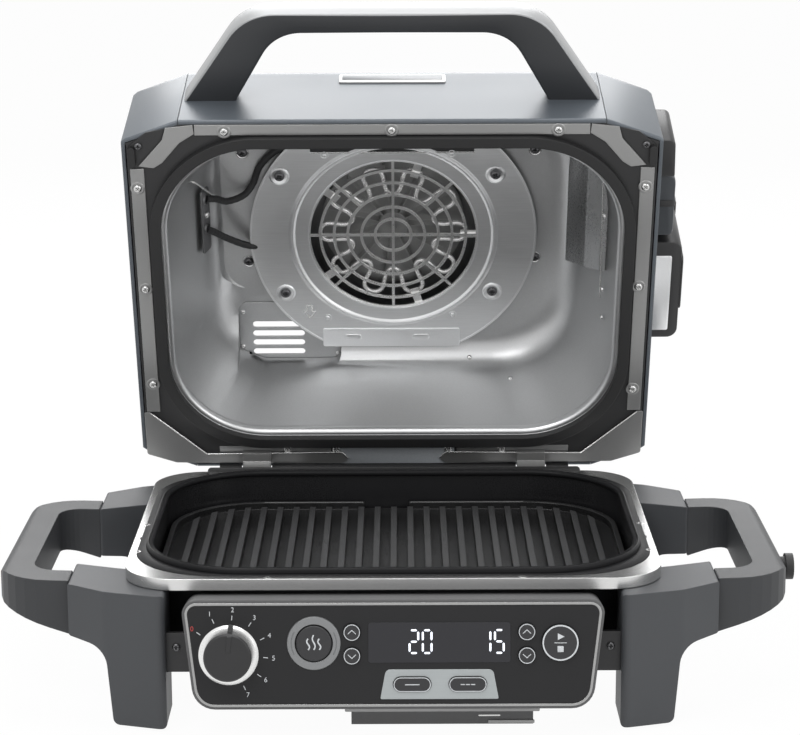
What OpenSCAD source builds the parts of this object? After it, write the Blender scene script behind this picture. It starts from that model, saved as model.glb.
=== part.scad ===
// Countertop electric grill and smoker with a hinged convection lid, drawn with the lid open.
// Millimetres. X runs to the right, Y to the back and Z up. The table is at Z = 0.

/* [Tub and flange] */
// Outside width of the tub at its lip
tub_w = 374; // [354:2:382]
// Outside depth of the tub at its lip
tub_d = 276; // [262:2:284]
// Outside corner radius of the tub
tub_r = 78; // [60:2:90]
// Sheet thickness of the tub and the pot
tub_wall = 1.8; // [1.2:0.2:2.4]
// Height of the tub's lip above the table
lip_z = 118; // [116:0.5:119]
// Height of the underside of the tub's floor
tub_floor_z = 54; // [48:1:58]
// Height of the flange's top face
flange_z = 113.5; // [112:0.5:114]
// How far the flange reaches past the tub
flange_reach = 12; // [10:1:14]
// Corner radius of the flange
flange_r = 40; // [30:2:50]
// Sheet thickness of the flange
flange_t = 1.2; // [0.8:0.2:1.6]
// Drop of the flange's folded edge
skirt_h = 8; // [6:1:9]
// How far the pot stands outside the tub
pot_gap = 4; // [3:0.5:5]
// Height of the pot's underside
pot_z = 38; // [34:1:42]

/* [Grill plate] */
// Height of the ridge tops
ridge_z = 93; // [90:1:97]
// Height of the ridges above the plate
ridge_h = 7; // [5:1:9]
// Distance from one ridge to the next
ridge_pitch = 13.5; // [11:0.5:18]
// Width of a ridge
ridge_w = 5; // [4:0.5:7]
// Thickness of the plate under the ridges
plate_t = 6; // [5:1:8]
// Gap between the plate and the tub's wall
plate_gap = 4; // [3:0.5:6]
// Width of the drain notch in the plate's rear wall
notch_w = 38; // [24:2:50]

/* [Control panel] */
// Width of the panel at its top
panel_w = 306; // [296:2:312]
// How much narrower the panel is at its bottom
panel_taper = 10; // [0:1:16]
// Height of the panel along its slope
panel_h = 79; // [77:1:82]
// Lean of the panel's face
panel_tilt = 10; // [6:1:14]
// Distance of the panel's centre in front of the pot
panel_reach = 42; // [38:1:48]
// Height of the panel's centre
panel_z = 67.5; // [66:0.5:69]
// Thickness of the panel's face plate
face_t = 1.6; // [1.2:0.2:2.4]
// Width of the bright edge line
bezel_w = 1.8; // [1.2:0.2:2.6]
// Radius of the mode dial's bright ring
dial_r = 21.6; // [19:0.2:23]
// Radius of the mode dial's cap
dial_cap_r = 17.2; // [14:0.2:18]
// How far the mode dial stands out
dial_h = 16; // [12:1:20]
// Radius of the dial's shaft
shaft_r = 3; // [2.5:0.1:4]
// Radius of the large smoke button
smoke_button_r = 12.8; // [11:0.2:14]
// Radius of the start button
start_button_r = 13.1; // [11:0.2:14]
// Radius of the four arrow buttons
arrow_button_r = 6.1; // [5:0.1:7]
// Length of the two pill buttons
pill_w = 26.9; // [22:0.5:30]
// Height of the two pill buttons
pill_h = 10.7; // [9:0.1:12]
// How far the buttons stand out
button_h = 2.4; // [1.8:0.2:3]
// Height of the display window
display_h = 29; // [24:1:32]

/* [Legs and side handles] */
// Gap between the panel's side and a leg
leg_gap = 13; // [9:1:17]
// Width of a leg at the floor
leg_w = 43; // [36:1:46]
// Height of the legs' tops
leg_top = 104.5; // [100:0.5:104.5]
// Thickness of the rubber feet
foot_t = 3; // [2:0.5:5]
// Distance from a leg's outer face to its seam with the handle
shoulder_w = 31; // [26:1:36]
// How far a handle reaches past that seam
grip_reach = 56; // [50:1:64]
// Thickness of the handle loop's bars
grip_w = 25; // [20:1:28]
// Height of the handle's outer bar
grip_h = 24; // [20:1:30]
// Radius of the socket plug's neck on the right handle
plug_r = 7.5; // [6:0.5:9]
// How far the socket plug stands out
plug_reach = 9; // [6:1:12]

/* [Trays] */
// Width of the grease tray
grease_w = 160; // [120:5:180]
// Depth of the grease tray
grease_d = 62; // [50:2:70]
// Height of the grease tray
grease_h = 28; // [22:1:32]
// Width of the front slide-out tray
probe_w = 143; // [120:1:150]
// Depth of the front slide-out tray
probe_d = 90; // [70:2:100]
// Height of the front slide-out tray
probe_h = 18; // [14:1:19]
// Wall of the two trays
tray_wall = 1.6; // [1.2:0.2:2]

/* [Lid] */
// How far the lid's rim stands outside the tub at each side
lid_side = 29; // [26:1:32]
// How far the lid's rim stands in front of the tub
lid_fore = 24; // [22:1:28]
// How far the lid's rim stands behind the tub
lid_aft = 34; // [31:1:37]
// Height of the lid's front face
lid_front_h = 116; // [112:1:124]
// Height of the lid's top above its rim
lid_top_h = 205; // [196:1:214]
// Thickness of the lid's outer shell
lid_wall = 3; // [2:0.2:4]
// Width of the lid's two side caps
cap_reach = 46; // [38:1:54]
// Height of the rim plane when the lid is closed
rim_z = 120; // [120:0.5:122]
// Height of the hinge axis
hinge_z = 100; // [98:0.5:101]
// Radius of the hinge pins
hinge_r = 3; // [2.5:0.1:3.5]
// How far the lid is open
open_angle = 70; // [0:1:80]
// How far the lid's handle stands off its front face
handle_reach = 77; // [60:1:85]
// Thickness of the handle's bar
handle_t = 17; // [14:1:20]
// Height of the handle's bar
handle_h = 24; // [18:1:28]
// Height of the handle's middle above the rim
handle_z = 56; // [48:1:64]

/* [Lid inside] */
// Depth of the liner's pan
pan_h = 112; // [106:1:114]
// How far the liner's walls lean in at the sides
pan_lean_x = 36; // [20:1:44]
// How far the liner's walls lean in at front and back
pan_lean_y = 10; // [8:1:11]
// Radius of the round edge between the liner's walls and its ceiling
pan_round = 22; // [16:1:23]
// Sheet thickness of the liner
liner_t = 1.5; // [1:0.1:2]
// Depth of the round fan recess above the pan
drum_h = 26; // [25:1:28]
// Radius of the round fan recess
drum_r = 100; // [96:1:103]
// Distance of the fan behind the tub's centre
fan_y = 2; // [0:1:3]
// Radius of the fan guard
guard_r = 124; // [118:1:125]
// Height of the fan guard above the rim
guard_z = 104; // [98:1:104]
// Radius of the grille's opening
grille_r = 72.5; // [66:0.5:76]
// Number of rings in the grille
grille_rings = 5; // [4:1:6]
// Width of the grille's bars
grille_bar = 2.4; // [1.8:0.1:3]
// Radius of the fan wheel
fan_r = 62; // [54:1:66]
// Number of fan blades
fan_blades = 11; // [7:1:15]
// Radius of the heating tube
tube_r = 3.2; // [2.6:0.1:3.8]
// Middle radius of the heating loop
loop_r = 50; // [46:1:54]
// Wave of the heating loop
loop_wave = 12; // [8:1:14]
// Number of waves in the heating loop
loop_waves = 10; // [8:1:12]
// Width of the gasket
gasket_w = 9; // [7:0.5:10]
// Radius of the fan motor
motor_r = 36; // [30:1:40]

/* [Smoke box] */
// Length of the smoke box
smoke_l = 94; // [80:2:104]
// How far the smoke box stands off the lid
smoke_reach = 24; // [20:1:28]
// Height of the smoke box
smoke_h = 68; // [50:1:72]
// Height of the smoke box's underside above the rim
smoke_z = 22; // [18:1:26]

/* [Fits] */
// Gap between pieces that move on each other
run_gap = 0.3; // [0.2:0.05:0.4]
// Gap between a pin and its bore
pin_gap = 0.05; // [0.03:0.01:0.08]
// Gap between fixed pieces that stand side by side
seam_gap = 0.4; // [0.2:0.1:0.6]
// Thickness of brackets, strips and plates of sheet steel
strip_t = 1.2; // [0.8:0.1:1.4]

/* [Hidden] */
$fn = 64;
// Distance that the tub's centre lies in front of the middle of the open object
tub_y = -79;
cut = 1;
pot_w = tub_w + 2 * pot_gap;
pot_d = tub_d + 2 * pot_gap;
pot_r = tub_r + pot_gap;
flange_w = tub_w + 2 * flange_reach;
flange_d = tub_d + 2 * flange_reach;
collar_z = flange_z - flange_t;
collar_t = 2.5;
plate_w = tub_w - 2 * (tub_wall + plate_gap);
plate_d = tub_d - 2 * (tub_wall + plate_gap);
plate_r = tub_r - tub_wall - plate_gap;
plate_z = ridge_z - ridge_h - plate_t;
plate_rim = 4;
panel_y = -pot_d / 2 - panel_reach;
leg_x = panel_w / 2 + leg_gap;
seam_span = leg_x + leg_w + shoulder_w;
handle_span = 2 * (seam_span + grip_reach);
panel_r_top = 10;
panel_r_bottom = 17;
pocket = 9;
smoke_ring_r = smoke_button_r + 6.7;
dial_at = [dial_r + 13.4 - panel_w / 2, 0.5];
smoke_at = [dial_at.x + dial_r + 19.9 + smoke_ring_r, 8.5];
start_at = [panel_w / 2 - 20.2 - start_button_r, 8.5];
arrow_x = [
    smoke_at.x + smoke_ring_r + 1.7 + arrow_button_r, start_at.x - start_button_r - 4.8 - arrow_button_r
];
arrow_v = [16.4, -0.6];
display_w = arrow_x[1] - arrow_x[0] - 2 * arrow_button_r - 11.2;
display_at = [(arrow_x[0] + arrow_x[1]) / 2, 8.8];
pill_pitch = pill_w + 13;
pill_x = [display_at.x + 0.4 - pill_pitch / 2, display_at.x + 0.4 + pill_pitch / 2];
pill_v = -21.3;
plate_half = [pill_pitch / 2 + pill_w / 2 + 5.1, pill_pitch / 2 + pill_w / 2 + 9.1];
plate_v = [-10.6, -32];
leg_front = -pot_d / 2 - 23;
leg_back = pot_d / 2 + 8;
leg_depth = 58;
grip_front = -124;
grip_back = 92;
grip_z = 82;
foot_x = leg_x + leg_w / 2;
foot_r = 13;
grease_z = 46;
grease_y = pot_d / 2 + 4;
probe_x = 35.5;
probe_z = 6;
probe_y = -pot_d / 2 - 20;
hanger_lip = 5;
lid_w = tub_w + 2 * lid_side;
lid_front = tub_d / 2 + lid_fore;
lid_rear = tub_d / 2 + lid_aft;
lid_seam = lid_w / 2 - cap_reach;
hinge_y = lid_rear;
rim_above = rim_z - hinge_z;
back_h = lid_top_h - 65;
outer_profile = [
    [-lid_front, 0], [lid_rear, 0], [lid_rear, back_h], [lid_rear - 48, lid_top_h],
    [-12, lid_top_h], [-lid_front + 12, lid_front_h]
];
outer_radii = [2, 2, 30, 45, 60, 22];
inner_radii = [1, 1, 27, 42, 57, 19];
cap_steps = [
    [0, 1, 1], [0.5, 0.945, 0.99], [0.93, 0.9, 0.97], [1, 0.885, 0.955]
];
cap_w = lid_w / 2 - lid_seam - seam_gap / 2;
rim_w = tub_w + 3;
rim_d = tub_d + 3;
rim_r = tub_r + 1.5;
rim_side = rim_w / 2 + gasket_w;
rim_end = rim_d / 2 + gasket_w;
gasket_h = rim_z - flange_z - run_gap;
pan_foot = 10;
pan_top_w = rim_w - 2 * pan_lean_x;
pan_top_d = rim_d - 2 * pan_lean_y;
vent_w = 90;
vent_d = 58;
vent_at = [-92, pan_top_d / 2 - 28];
vent_sight = [0.617, 1];
drum_z = pan_h + drum_h;
wheel_z = guard_z + 18;
guard_t = 1.2;
grille_t = 1.8;
clip_t = 1.5;
loop_z = guard_z + guard_t + grille_t + clip_t + run_gap + tube_r;
hinge_x = 118;
ear_t = 5;
knuckle_w = 24;
knuckle_r = 6;
smoke_y = 9.5;
elbow_reach = 15;
smoke_wall = 2;
flap_t = 4;
flap_pin_r = 1.5;
smoke_x = lid_w / 2;
plug_depth = 10;
plug_y = -61;
wheel_shaft_r = 4;
motor_bore = 22;

// Direction of one unit length
function unit(v) = v / norm(v);

// A counter-clockwise outline with every edge moved inwards
function inset(p, t) = [
    for (i = [0 : len(p) - 1])
        let (
            a = p[(i + len(p) - 1) % len(p)],
            c = p[(i + 1) % len(p)],
            d = unit(p[i] - a),
            e = unit(c - p[i]),
            m = [-d.y, d.x],
            n = [-e.y, e.x]
        )
        p[i] + (m + n) * t / (1 + m * n)
];

// An outline with its corners rounded, each to its own radius
function rounded(p, radii, steps = 7) = [
    for (i = [0 : len(p) - 1])
        let (
            a = unit(p[(i + len(p) - 1) % len(p)] - p[i]),
            c = unit(p[(i + 1) % len(p)] - p[i]),
            half = acos(a * c) / 2,
            middle = p[i] + unit(a + c) * radii[i] / sin(half),
            turn = 90 - half,
            side = sign(a.x * c.y - a.y * c.x)
        )
        for (k = [0 : steps])
            let (
                w = turn * (2 * k / steps - 1) * -side,
                out = -unit(a + c)
            )
            middle + radii[i] * [out.x * cos(w) - out.y * sin(w), out.x * sin(w) + out.y * cos(w)]
];

// An outline scaled about the point where the lid's middle meets its rim
function scaled(p, ky, kh) = [for (q = p) [q.x * ky, q.y * kh]];

// The lid's inside outline, open at the rim
function opened(p) = [for (q = inset(p, lid_wall)) q.y < lid_wall + 0.01 ? [q.x, -cut] : q];

// A rectangle with round corners
module round_rect(w, d, r) {
    square([w - 2 * r, d], center = true);
    square([w, d - 2 * r], center = true);
    for (x = [-1, 1], y = [-1, 1])
        translate([x * (w / 2 - r), y * (d / 2 - r)]) circle(r);
}

// A round-cornered plate between two heights
module slab(w, d, r, low, high) {
    translate([0, 0, low]) linear_extrude(high - low) round_rect(w, d, r);
}

// A round-cornered wall between two heights
module wall_ring(w, d, r, t, low, high) {
    translate([0, 0, low]) linear_extrude(high - low) difference() {
        round_rect(w, d, r);
        round_rect(w - 2 * t, d - 2 * t, r - t);
    }
}

// A side outline in Y and Z, drawn out along X
module across(low, high) {
    translate([low, 0, 0]) rotate([90, 0, 90]) linear_extrude(high - low) children();
}

// A front outline in X and Z, drawn out along Y
module along(front, back) {
    translate([0, back, 0]) rotate([90, 0, 0]) linear_extrude(back - front) children();
}

// The place of everything that stands on the table
module placed() {
    translate([0, tub_y, 0]) children();
}

// The place of everything on the open lid, drawn closed with the rim plane at zero
module on_lid() {
    placed() translate([0, hinge_y, hinge_z]) rotate([-open_angle, 0, 0])
        translate([0, -hinge_y, rim_above]) children();
}

// The panel's own frame: X to the right, Y up the slope and Z outwards
module on_panel(at = [0, 0]) {
    placed() translate([0, panel_y, panel_z]) rotate([90 - panel_tilt, 0, 0])
        translate([at.x, at.y, 0]) children();
}

// The panel's outline, moved inwards
module panel_outline(t = 0) {
    top = panel_w / 2;
    bottom = panel_w / 2 - panel_taper;
    half = panel_h / 2;
    frame = [[-bottom, -half], [bottom, -half], [top, half], [-top, half]];
    radii = [panel_r_bottom, panel_r_bottom, panel_r_top, panel_r_top];
    polygon(rounded(inset(frame, t), [for (r = radii) r - t]));
}

// A pill with round ends
module pill(w, h) {
    square([w - h, h], center = true);
    for (x = [-1, 1])
        translate([x * (w - h) / 2, 0]) circle(h / 2);
}

// The holes for the buttons and the dial's shaft, as outlines on the panel
module panel_holes(gap) {
    translate(dial_at) circle(shaft_r + pin_gap);
    translate(smoke_at) circle(smoke_button_r + gap);
    translate(start_at) circle(start_button_r + gap);
    for (x = arrow_x, v = arrow_v)
        translate([x, v]) circle(arrow_button_r + gap);
    for (x = pill_x)
        translate([x, pill_v]) pill(pill_w + 2 * gap, pill_h + 2 * gap);
}

// A round button with an edge stepped back from its top
module round_button(r) {
    translate([0, 0, 2 - pocket]) cylinder(r = r, h = pocket - 2 + button_h - 0.6);
    translate([0, 0, button_h - 0.6]) cylinder(r1 = r, r2 = r - 0.6, h = 0.6);
}

module base_pot() {
    color("#1b1b1c") placed() difference() {
        slab(pot_w, pot_d, pot_r, pot_z, collar_z - collar_t);
        slab(pot_w - 2 * tub_wall, pot_d - 2 * tub_wall, pot_r - tub_wall, pot_z + tub_wall, flange_z);
    }
}

module inner_tub() {
    post = 9;
    color("#202021") placed() {
        difference() {
            union() {
                slab(tub_w, tub_d, tub_r, tub_floor_z, lip_z);
                slab(pot_w, pot_d, pot_r, collar_z - collar_t, collar_z);
            }
            slab(tub_w - 2 * tub_wall, tub_d - 2 * tub_wall, tub_r - tub_wall, tub_floor_z + tub_wall, lip_z + cut);
        }
        for (x = [-1, 1], y = [-1, 1])
            translate([x * tub_w * 0.32, y * tub_d * 0.3, tub_floor_z + tub_wall])
                cylinder(r = post, h = plate_z - run_gap - tub_floor_z - tub_wall);
    }
}

module rim_flange() {
    color("#b9bab8") placed() {
        difference() {
            slab(flange_w, flange_d, flange_r, collar_z, flange_z);
            slab(tub_w + 2 * seam_gap, tub_d + 2 * seam_gap, tub_r + seam_gap, collar_z - cut, flange_z + cut);
        }
        wall_ring(flange_w, flange_d, flange_r, flange_t, collar_z + flange_t / 2 - skirt_h, collar_z);
    }
}

module control_housing() {
    up = [sin(panel_tilt), cos(panel_tilt)] * panel_h / 2;
    top = [panel_y, panel_z] + up;
    low = [panel_y, panel_z] - up;
    shelf = collar_z + flange_t / 2 - skirt_h - seam_gap;
    deep = 60;
    color("#202022") difference() {
        intersection() {
            placed() across(-panel_w / 2 - cut, panel_w / 2 + cut) polygon([
                low, [-pot_d / 2, low.y], [-pot_d / 2, shelf], [-flange_d / 2 - seam_gap, shelf], top
            ]);
            on_panel() translate([0, 0, -deep]) linear_extrude(deep + cut) panel_outline();
        }
        on_panel() translate([0, 0, -pocket]) linear_extrude(pocket + cut) panel_holes(run_gap);
        placed() slab(pot_w, pot_d, pot_r, 0, lip_z);
    }
}

module panel_face() {
    color("#101011") on_panel() linear_extrude(face_t) difference() {
        panel_outline(bezel_w + seam_gap + 2);
        panel_holes(run_gap);
    }
}

module panel_bezel() {
    color("#c9cacb") on_panel() linear_extrude(face_t) difference() {
        panel_outline(2);
        panel_outline(bezel_w + 2);
    }
}

module display_window() {
    color("#050506") on_panel(display_at) translate([0, 0, face_t]) linear_extrude(0.5)
        round_rect(display_w, display_h, 2);
}

module smoke_button_ring() {
    color("#bfc0c1") on_panel(smoke_at) translate([0, 0, face_t]) rotate_extrude()
        polygon([
            [smoke_button_r + 0.6, 0], [smoke_ring_r, 0], [smoke_ring_r - 0.5, 1], [smoke_button_r + 0.9, 1]
        ]);
}

module probe_button_plate() {
    frame = [
        [-plate_half[1], plate_v[1]], [plate_half[1], plate_v[1]],
        [plate_half[0], plate_v[0]], [-plate_half[0], plate_v[0]]
    ];
    color("#a9aaab") on_panel() translate([0, 0, face_t]) linear_extrude(0.6) difference() {
        translate([display_at.x, 0]) polygon(rounded(frame, [1, 1, 4, 4]));
        for (x = pill_x)
            translate([x, pill_v]) pill(pill_w + 2 * run_gap, pill_h + 2 * run_gap);
    }
}

// A leg at the front right with its front face at zero, and the shoulder that carries the handle
module leg_form() {
    outer = leg_x + leg_w;
    arm_low = grip_z - 19;
    front = [
        [leg_x, foot_t], [outer - 3, foot_t], [outer + 2, arm_low - 2], [seam_span, arm_low + 2],
        [seam_span, leg_top], [leg_x, leg_top]
    ];
    plan = [
        [leg_x - cut, 0], [outer + 2, 14], [seam_span + cut, 34], [seam_span + cut, 84],
        [outer, leg_depth + 14], [leg_x - cut, leg_depth]
    ];
    intersection() {
        along(-cut, 100) polygon(rounded(front, [3, 5, 16, 2, 2, 3]));
        linear_extrude(leg_top + cut) polygon(rounded(plan, [6, 20, 2, 2, 8, 8]));
    }
}

// The space that the pot needs between the legs
module pot_space() {
    slab(pot_w + 2 * seam_gap, pot_d + 2 * seam_gap, pot_r + seam_gap, 0, lip_z);
}

module front_leg() {
    difference() {
        translate([0, leg_front, 0]) leg_form();
        pot_space();
    }
}

module rear_leg() {
    difference() {
        translate([0, leg_back, 0]) mirror([0, 1, 0]) leg_form();
        pot_space();
    }
}

module front_left_leg() {
    color("#3a3b3d") placed() mirror([1, 0, 0]) front_leg();
}

module front_right_leg() {
    color("#3a3b3d") placed() front_leg();
}

module rear_left_leg() {
    color("#3a3b3d") placed() mirror([1, 0, 0]) rear_leg();
}

module rear_right_leg() {
    color("#3a3b3d") placed() rear_leg();
}

module leg_brackets() {
    low = panel_z - 23.5;
    high = panel_z + 6.5;
    inner = panel_w / 2 - panel_taper;
    color("#18181a") difference() {
        placed() for (side = [0, 1])
            mirror([side, 0, 0]) translate([inner, -pot_d / 2 - 12, low])
                cube([leg_x - inner, 4, high - low]);
        on_panel() translate([0, 0, -2 * panel_reach]) linear_extrude(3 * panel_reach) panel_outline();
        placed() pot_space();
    }
}

module foot_pads() {
    color("#121212") placed() for (x = [-1, 1], y = [leg_front + leg_depth / 2 + 2, leg_back - leg_depth / 2 - 2])
        translate([x * foot_x, y, 0]) cylinder(r = foot_r, h = foot_t);
}

// The loop of the right handle, before its socket is bored
module grip_form() {
    out = handle_span / 2;
    plan = [[seam_span, grip_front], [out, grip_front], [out, grip_back], [seam_span, grip_back]];
    hollow = [
        [seam_span - cut, grip_front + grip_w], [out - grip_w, grip_front + grip_w],
        [out - grip_w, grip_back - grip_w], [seam_span - cut, grip_back - grip_w]
    ];
    side = [[seam_span, grip_z - 19], [out, grip_z], [out, grip_z + grip_h], [seam_span, leg_top]];
    intersection() {
        linear_extrude(lip_z) difference() {
            polygon(rounded(plan, [1, 40, 40, 1]));
            polygon(rounded(hollow, [1, 18, 18, 1]));
        }
        along(grip_front - cut, grip_back + cut) polygon(rounded(side, [1, 7, 7, 1]));
    }
}

module left_grip() {
    color("#37383a") placed() mirror([1, 0, 0]) grip_form();
}

module right_grip() {
    color("#37383a") placed() difference() {
        grip_form();
        translate([handle_span / 2 - plug_depth - run_gap, plug_y, grip_z + grip_h / 2]) rotate([0, 90, 0])
            cylinder(r = plug_r + run_gap, h = grip_w);
    }
}

module socket_plug() {
    head = 2.5;
    color("#1c1c1d") placed() translate([handle_span / 2, plug_y, grip_z + grip_h / 2]) rotate([0, 90, 0]) {
        translate([0, 0, -plug_depth]) cylinder(r = plug_r, h = plug_depth + plug_reach);
        translate([0, 0, plug_reach / 3]) cylinder(r = plug_r + head, h = plug_reach * 2 / 3);
    }
}

module hinge_brackets() {
    ear = [
        [pot_d / 2, 58], [hinge_y + 3, hinge_z - 16], [hinge_y + knuckle_r, hinge_z],
        [hinge_y - 3, hinge_z + knuckle_r - 1], [pot_d / 2, 90]
    ];
    color("#262628") placed() for (side = [-1, 1], end = [-1, 1]) {
        inner = knuckle_w / 2 + run_gap;
        at = side * hinge_x + (end > 0 ? inner : -inner - ear_t);
        across(at, at + ear_t) difference() {
            union() {
                polygon(ear);
                translate([hinge_y, hinge_z]) circle(knuckle_r);
            }
            translate([hinge_y, hinge_z]) circle(hinge_r + pin_gap);
        }
        translate([side * hinge_x - inner, pot_d / 2, 58]) cube([2 * inner, 4, 26]);
    }
}

module hinge_pins() {
    long = knuckle_w + 2 * (run_gap + ear_t) + 3;
    color("#9a9b9c") placed() for (side = [-1, 1])
        translate([side * hinge_x - long / 2, hinge_y, hinge_z]) rotate([0, 90, 0]) cylinder(r = hinge_r, h = long);
}

// An open tray with a lip along both sides that slides on two rails
module tray(w, d, h) {
    translate([0, 0, h - tray_wall]) linear_extrude(tray_wall) difference() {
        translate([-w / 2, 0]) square([w, d]);
        translate([-w / 2 + hanger_lip + tray_wall, tray_wall]) square([w - 2 * (hanger_lip + tray_wall), d - 2 * tray_wall]);
    }
    difference() {
        translate([-w / 2 + hanger_lip, 0, 0]) cube([w - 2 * hanger_lip, d, h]);
        translate([-w / 2 + hanger_lip + tray_wall, tray_wall, tray_wall])
            cube([w - 2 * (hanger_lip + tray_wall), d - 2 * tray_wall, h]);
    }
}

// Two angle rails below a tray's lips, hung from above or held at one end
module rails(w, d, h, top) {
    low = h - tray_wall - run_gap - strip_t;
    for (side = [0, 1])
        mirror([side, 0, 0]) {
            translate([w / 2 - hanger_lip + run_gap, 0, low]) cube([hanger_lip + strip_t, d, strip_t]);
            translate([w / 2 + run_gap, 0, low]) cube([strip_t, d, top - low]);
        }
}

module tray_hangers() {
    back = probe_y + probe_d;
    front = -pot_d / 2 + pot_r / 4;
    color("#1d1d1e") placed() translate([probe_x, front, probe_z])
        rails(probe_w, back - front, probe_h, pot_z - probe_z);
}

module probe_tray() {
    color("#1a1a1b") placed() translate([probe_x, probe_y, probe_z]) tray(probe_w, probe_d, probe_h);
}

module grease_rails() {
    color("#232324") placed() translate([0, pot_d / 2, grease_z])
        rails(grease_w, grease_d - 6, grease_h, grease_h + 2);
}

module grease_tray() {
    color("#242425") placed() translate([0, grease_y, grease_z]) {
        tray(grease_w, grease_d, grease_h);
        translate([-grease_w / 5, grease_d, grease_h - 10]) cube([grease_w * 2 / 5, 8, 4]);
    }
}

module cord_inlet() {
    color("#141414") placed() translate([0, pot_d / 2, collar_z - 22]) rotate([-90, 0, 0]) difference() {
        union() {
            cylinder(r = 11, h = 3);
            cylinder(r = 8, h = 14);
        }
        translate([0, 0, 4]) cylinder(r = 4.5, h = 20);
    }
}

module grill_plate() {
    count = floor((plate_w - 8 * plate_rim) / ridge_pitch / 2);
    color("#19191a") placed() {
        difference() {
            slab(plate_w, plate_d, plate_r, plate_z, ridge_z - 1);
            slab(plate_w - 2 * plate_rim, plate_d - 2 * plate_rim, plate_r - plate_rim, plate_z + plate_t, lip_z);
            translate([-6 - notch_w / 2, plate_d / 2 - 2 * plate_rim, plate_z + plate_t]) cube([notch_w, 4 * plate_rim, lip_z]);
        }
        translate([0, 0, plate_z + plate_t]) linear_extrude(ridge_h) intersection() {
            translate([0, -plate_rim]) round_rect(plate_w - 6 * plate_rim, plate_d - 8 * plate_rim, plate_r - 3 * plate_rim);
            for (i = [-count : count])
                translate([i * ridge_pitch - ridge_w / 2, -plate_d / 2]) square([ridge_w, plate_d]);
        }
    }
}

module dial_knob() {
    color("#232325") on_panel(dial_at) {
        translate([0, 0, face_t + run_gap + 4]) cylinder(r = dial_cap_r, h = dial_h - 5.5);
        translate([0, 0, face_t + run_gap + dial_h - 1.5]) cylinder(r1 = dial_cap_r, r2 = dial_cap_r - 1.2, h = 1.2);
        translate([0, 0, 2 - pocket]) cylinder(r = shaft_r, h = pocket - 2 + face_t + run_gap + 4);
    }
}

module dial_ring() {
    color("#c4c5c6") on_panel(dial_at) translate([0, 0, face_t + run_gap]) rotate_extrude()
        polygon([[shaft_r, 0], [dial_r, 0], [dial_r, 2.4], [dial_r - 1.6, 4], [shaft_r, 4]]);
}

module smoke_button() {
    color("#2b2b2d") on_panel(smoke_at) translate([0, 0, face_t]) round_button(smoke_button_r);
}

module start_button() {
    color("#c2c3c4") on_panel(start_at) translate([0, 0, face_t]) round_button(start_button_r);
}

module temp_up_button() {
    color("#b4b5b6") on_panel([arrow_x[0], arrow_v[0]]) translate([0, 0, face_t]) round_button(arrow_button_r);
}

module temp_down_button() {
    color("#b4b5b6") on_panel([arrow_x[0], arrow_v[1]]) translate([0, 0, face_t]) round_button(arrow_button_r);
}

module time_up_button() {
    color("#b4b5b6") on_panel([arrow_x[1], arrow_v[0]]) translate([0, 0, face_t]) round_button(arrow_button_r);
}

module time_down_button() {
    color("#b4b5b6") on_panel([arrow_x[1], arrow_v[1]]) translate([0, 0, face_t]) round_button(arrow_button_r);
}

// A pill button in the probe plate
module pill_button(x) {
    color("#d0d1d2") on_panel([x, pill_v]) translate([0, 0, face_t + 2 - pocket])
        linear_extrude(pocket - 2 + button_h) pill(pill_w, pill_h);
}

module manual_button() {
    pill_button(pill_x[0]);
}

module preset_button() {
    pill_button(pill_x[1]);
}

module lid_shell() {
    half = lid_seam - seam_gap / 2;
    color("#5c6167") on_lid() difference() {
        across(-half, half) polygon(rounded(outer_profile, outer_radii));
        across(-half - cut, half + cut) polygon(rounded(opened(outer_profile), inner_radii));
        vent_way(56);
    }
}

// Slices of a profile that shrink towards the lid's side
module cap_solid(profile, radii, start, t) {
    hull() for (s = cap_steps) {
        x = s[0] == 0 ? start : lid_seam + seam_gap / 2 + cap_w * s[0] - (s[0] == 1 ? t : 0);
        across(x, x + 0.01) polygon(scaled(rounded(profile, radii), s[1], s[2]));
    }
}

// The lid's right side cap
module cap() {
    start = lid_seam + seam_gap / 2;
    difference() {
        cap_solid(outer_profile, outer_radii, start, 0.01);
        cap_solid(opened(outer_profile), inner_radii, start - cut, lid_wall);
    }
}

module left_cap() {
    color("#585d63") on_lid() mirror([1, 0, 0]) cap();
}

module right_cap() {
    color("#585d63") on_lid() cap();
}

// The liner's tapered pan with its round ceiling edge, grown outwards by its sheet
module pan_form(t, low) {
    hull() {
        slab(rim_w + 2 * t, rim_d + 2 * t, rim_r + t, low, pan_foot, $fn = 32);
        for (turn = [0 : 30 : 90]) {
            h = pan_h - pan_round * (1 - sin(turn));
            up = (h - pan_foot) / (pan_h - pan_foot);
            in = pan_round * (1 - cos(turn)) - t;
            w = rim_w - 2 * (pan_lean_x * up + in);
            d = rim_d - 2 * (pan_lean_y * up + in);
            slab(w, d, rim_r - pan_lean_y * up - in, h - 0.2, h + t * sin(turn), $fn = 32);
        }
    }
}

// One level of the hollow for the leads in the liner's left wall
module scoop_slice(reach, low, high, t) {
    inner = 80;
    translate([-(reach + inner) / 2, -20, 0])
        slab(reach - inner + 2 * t, 160 + 2 * t, 26 + t, low, high, $fn = 32);
}

module scoop_form(t) {
    foot = 30;
    hull() {
        scoop_slice(rim_w / 2 - 9, foot, foot + 0.1, t);
        scoop_slice(pan_top_w / 2 - 5, pan_h - 0.1, pan_h + t, t);
    }
}

// The pressed pocket that the vent cover sits in, kept inside the pan's own outline at its foot
module vent_form(t) {
    foot = pan_h - 46;
    up = 0.6;
    intersection() {
        translate([vent_at.x, vent_at.y, 0]) slab(vent_w + 2 * t, vent_d + 2 * t, 8 + t, foot, pan_h + t, $fn = 32);
        slab(
            rim_w - 2 * (pan_lean_x * up - t), rim_d - 2 * (pan_lean_y * up - t), rim_r - pan_lean_y * up + t,
            foot - cut, pan_h + 2 * t, $fn = 32
        );
    }
}

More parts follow.
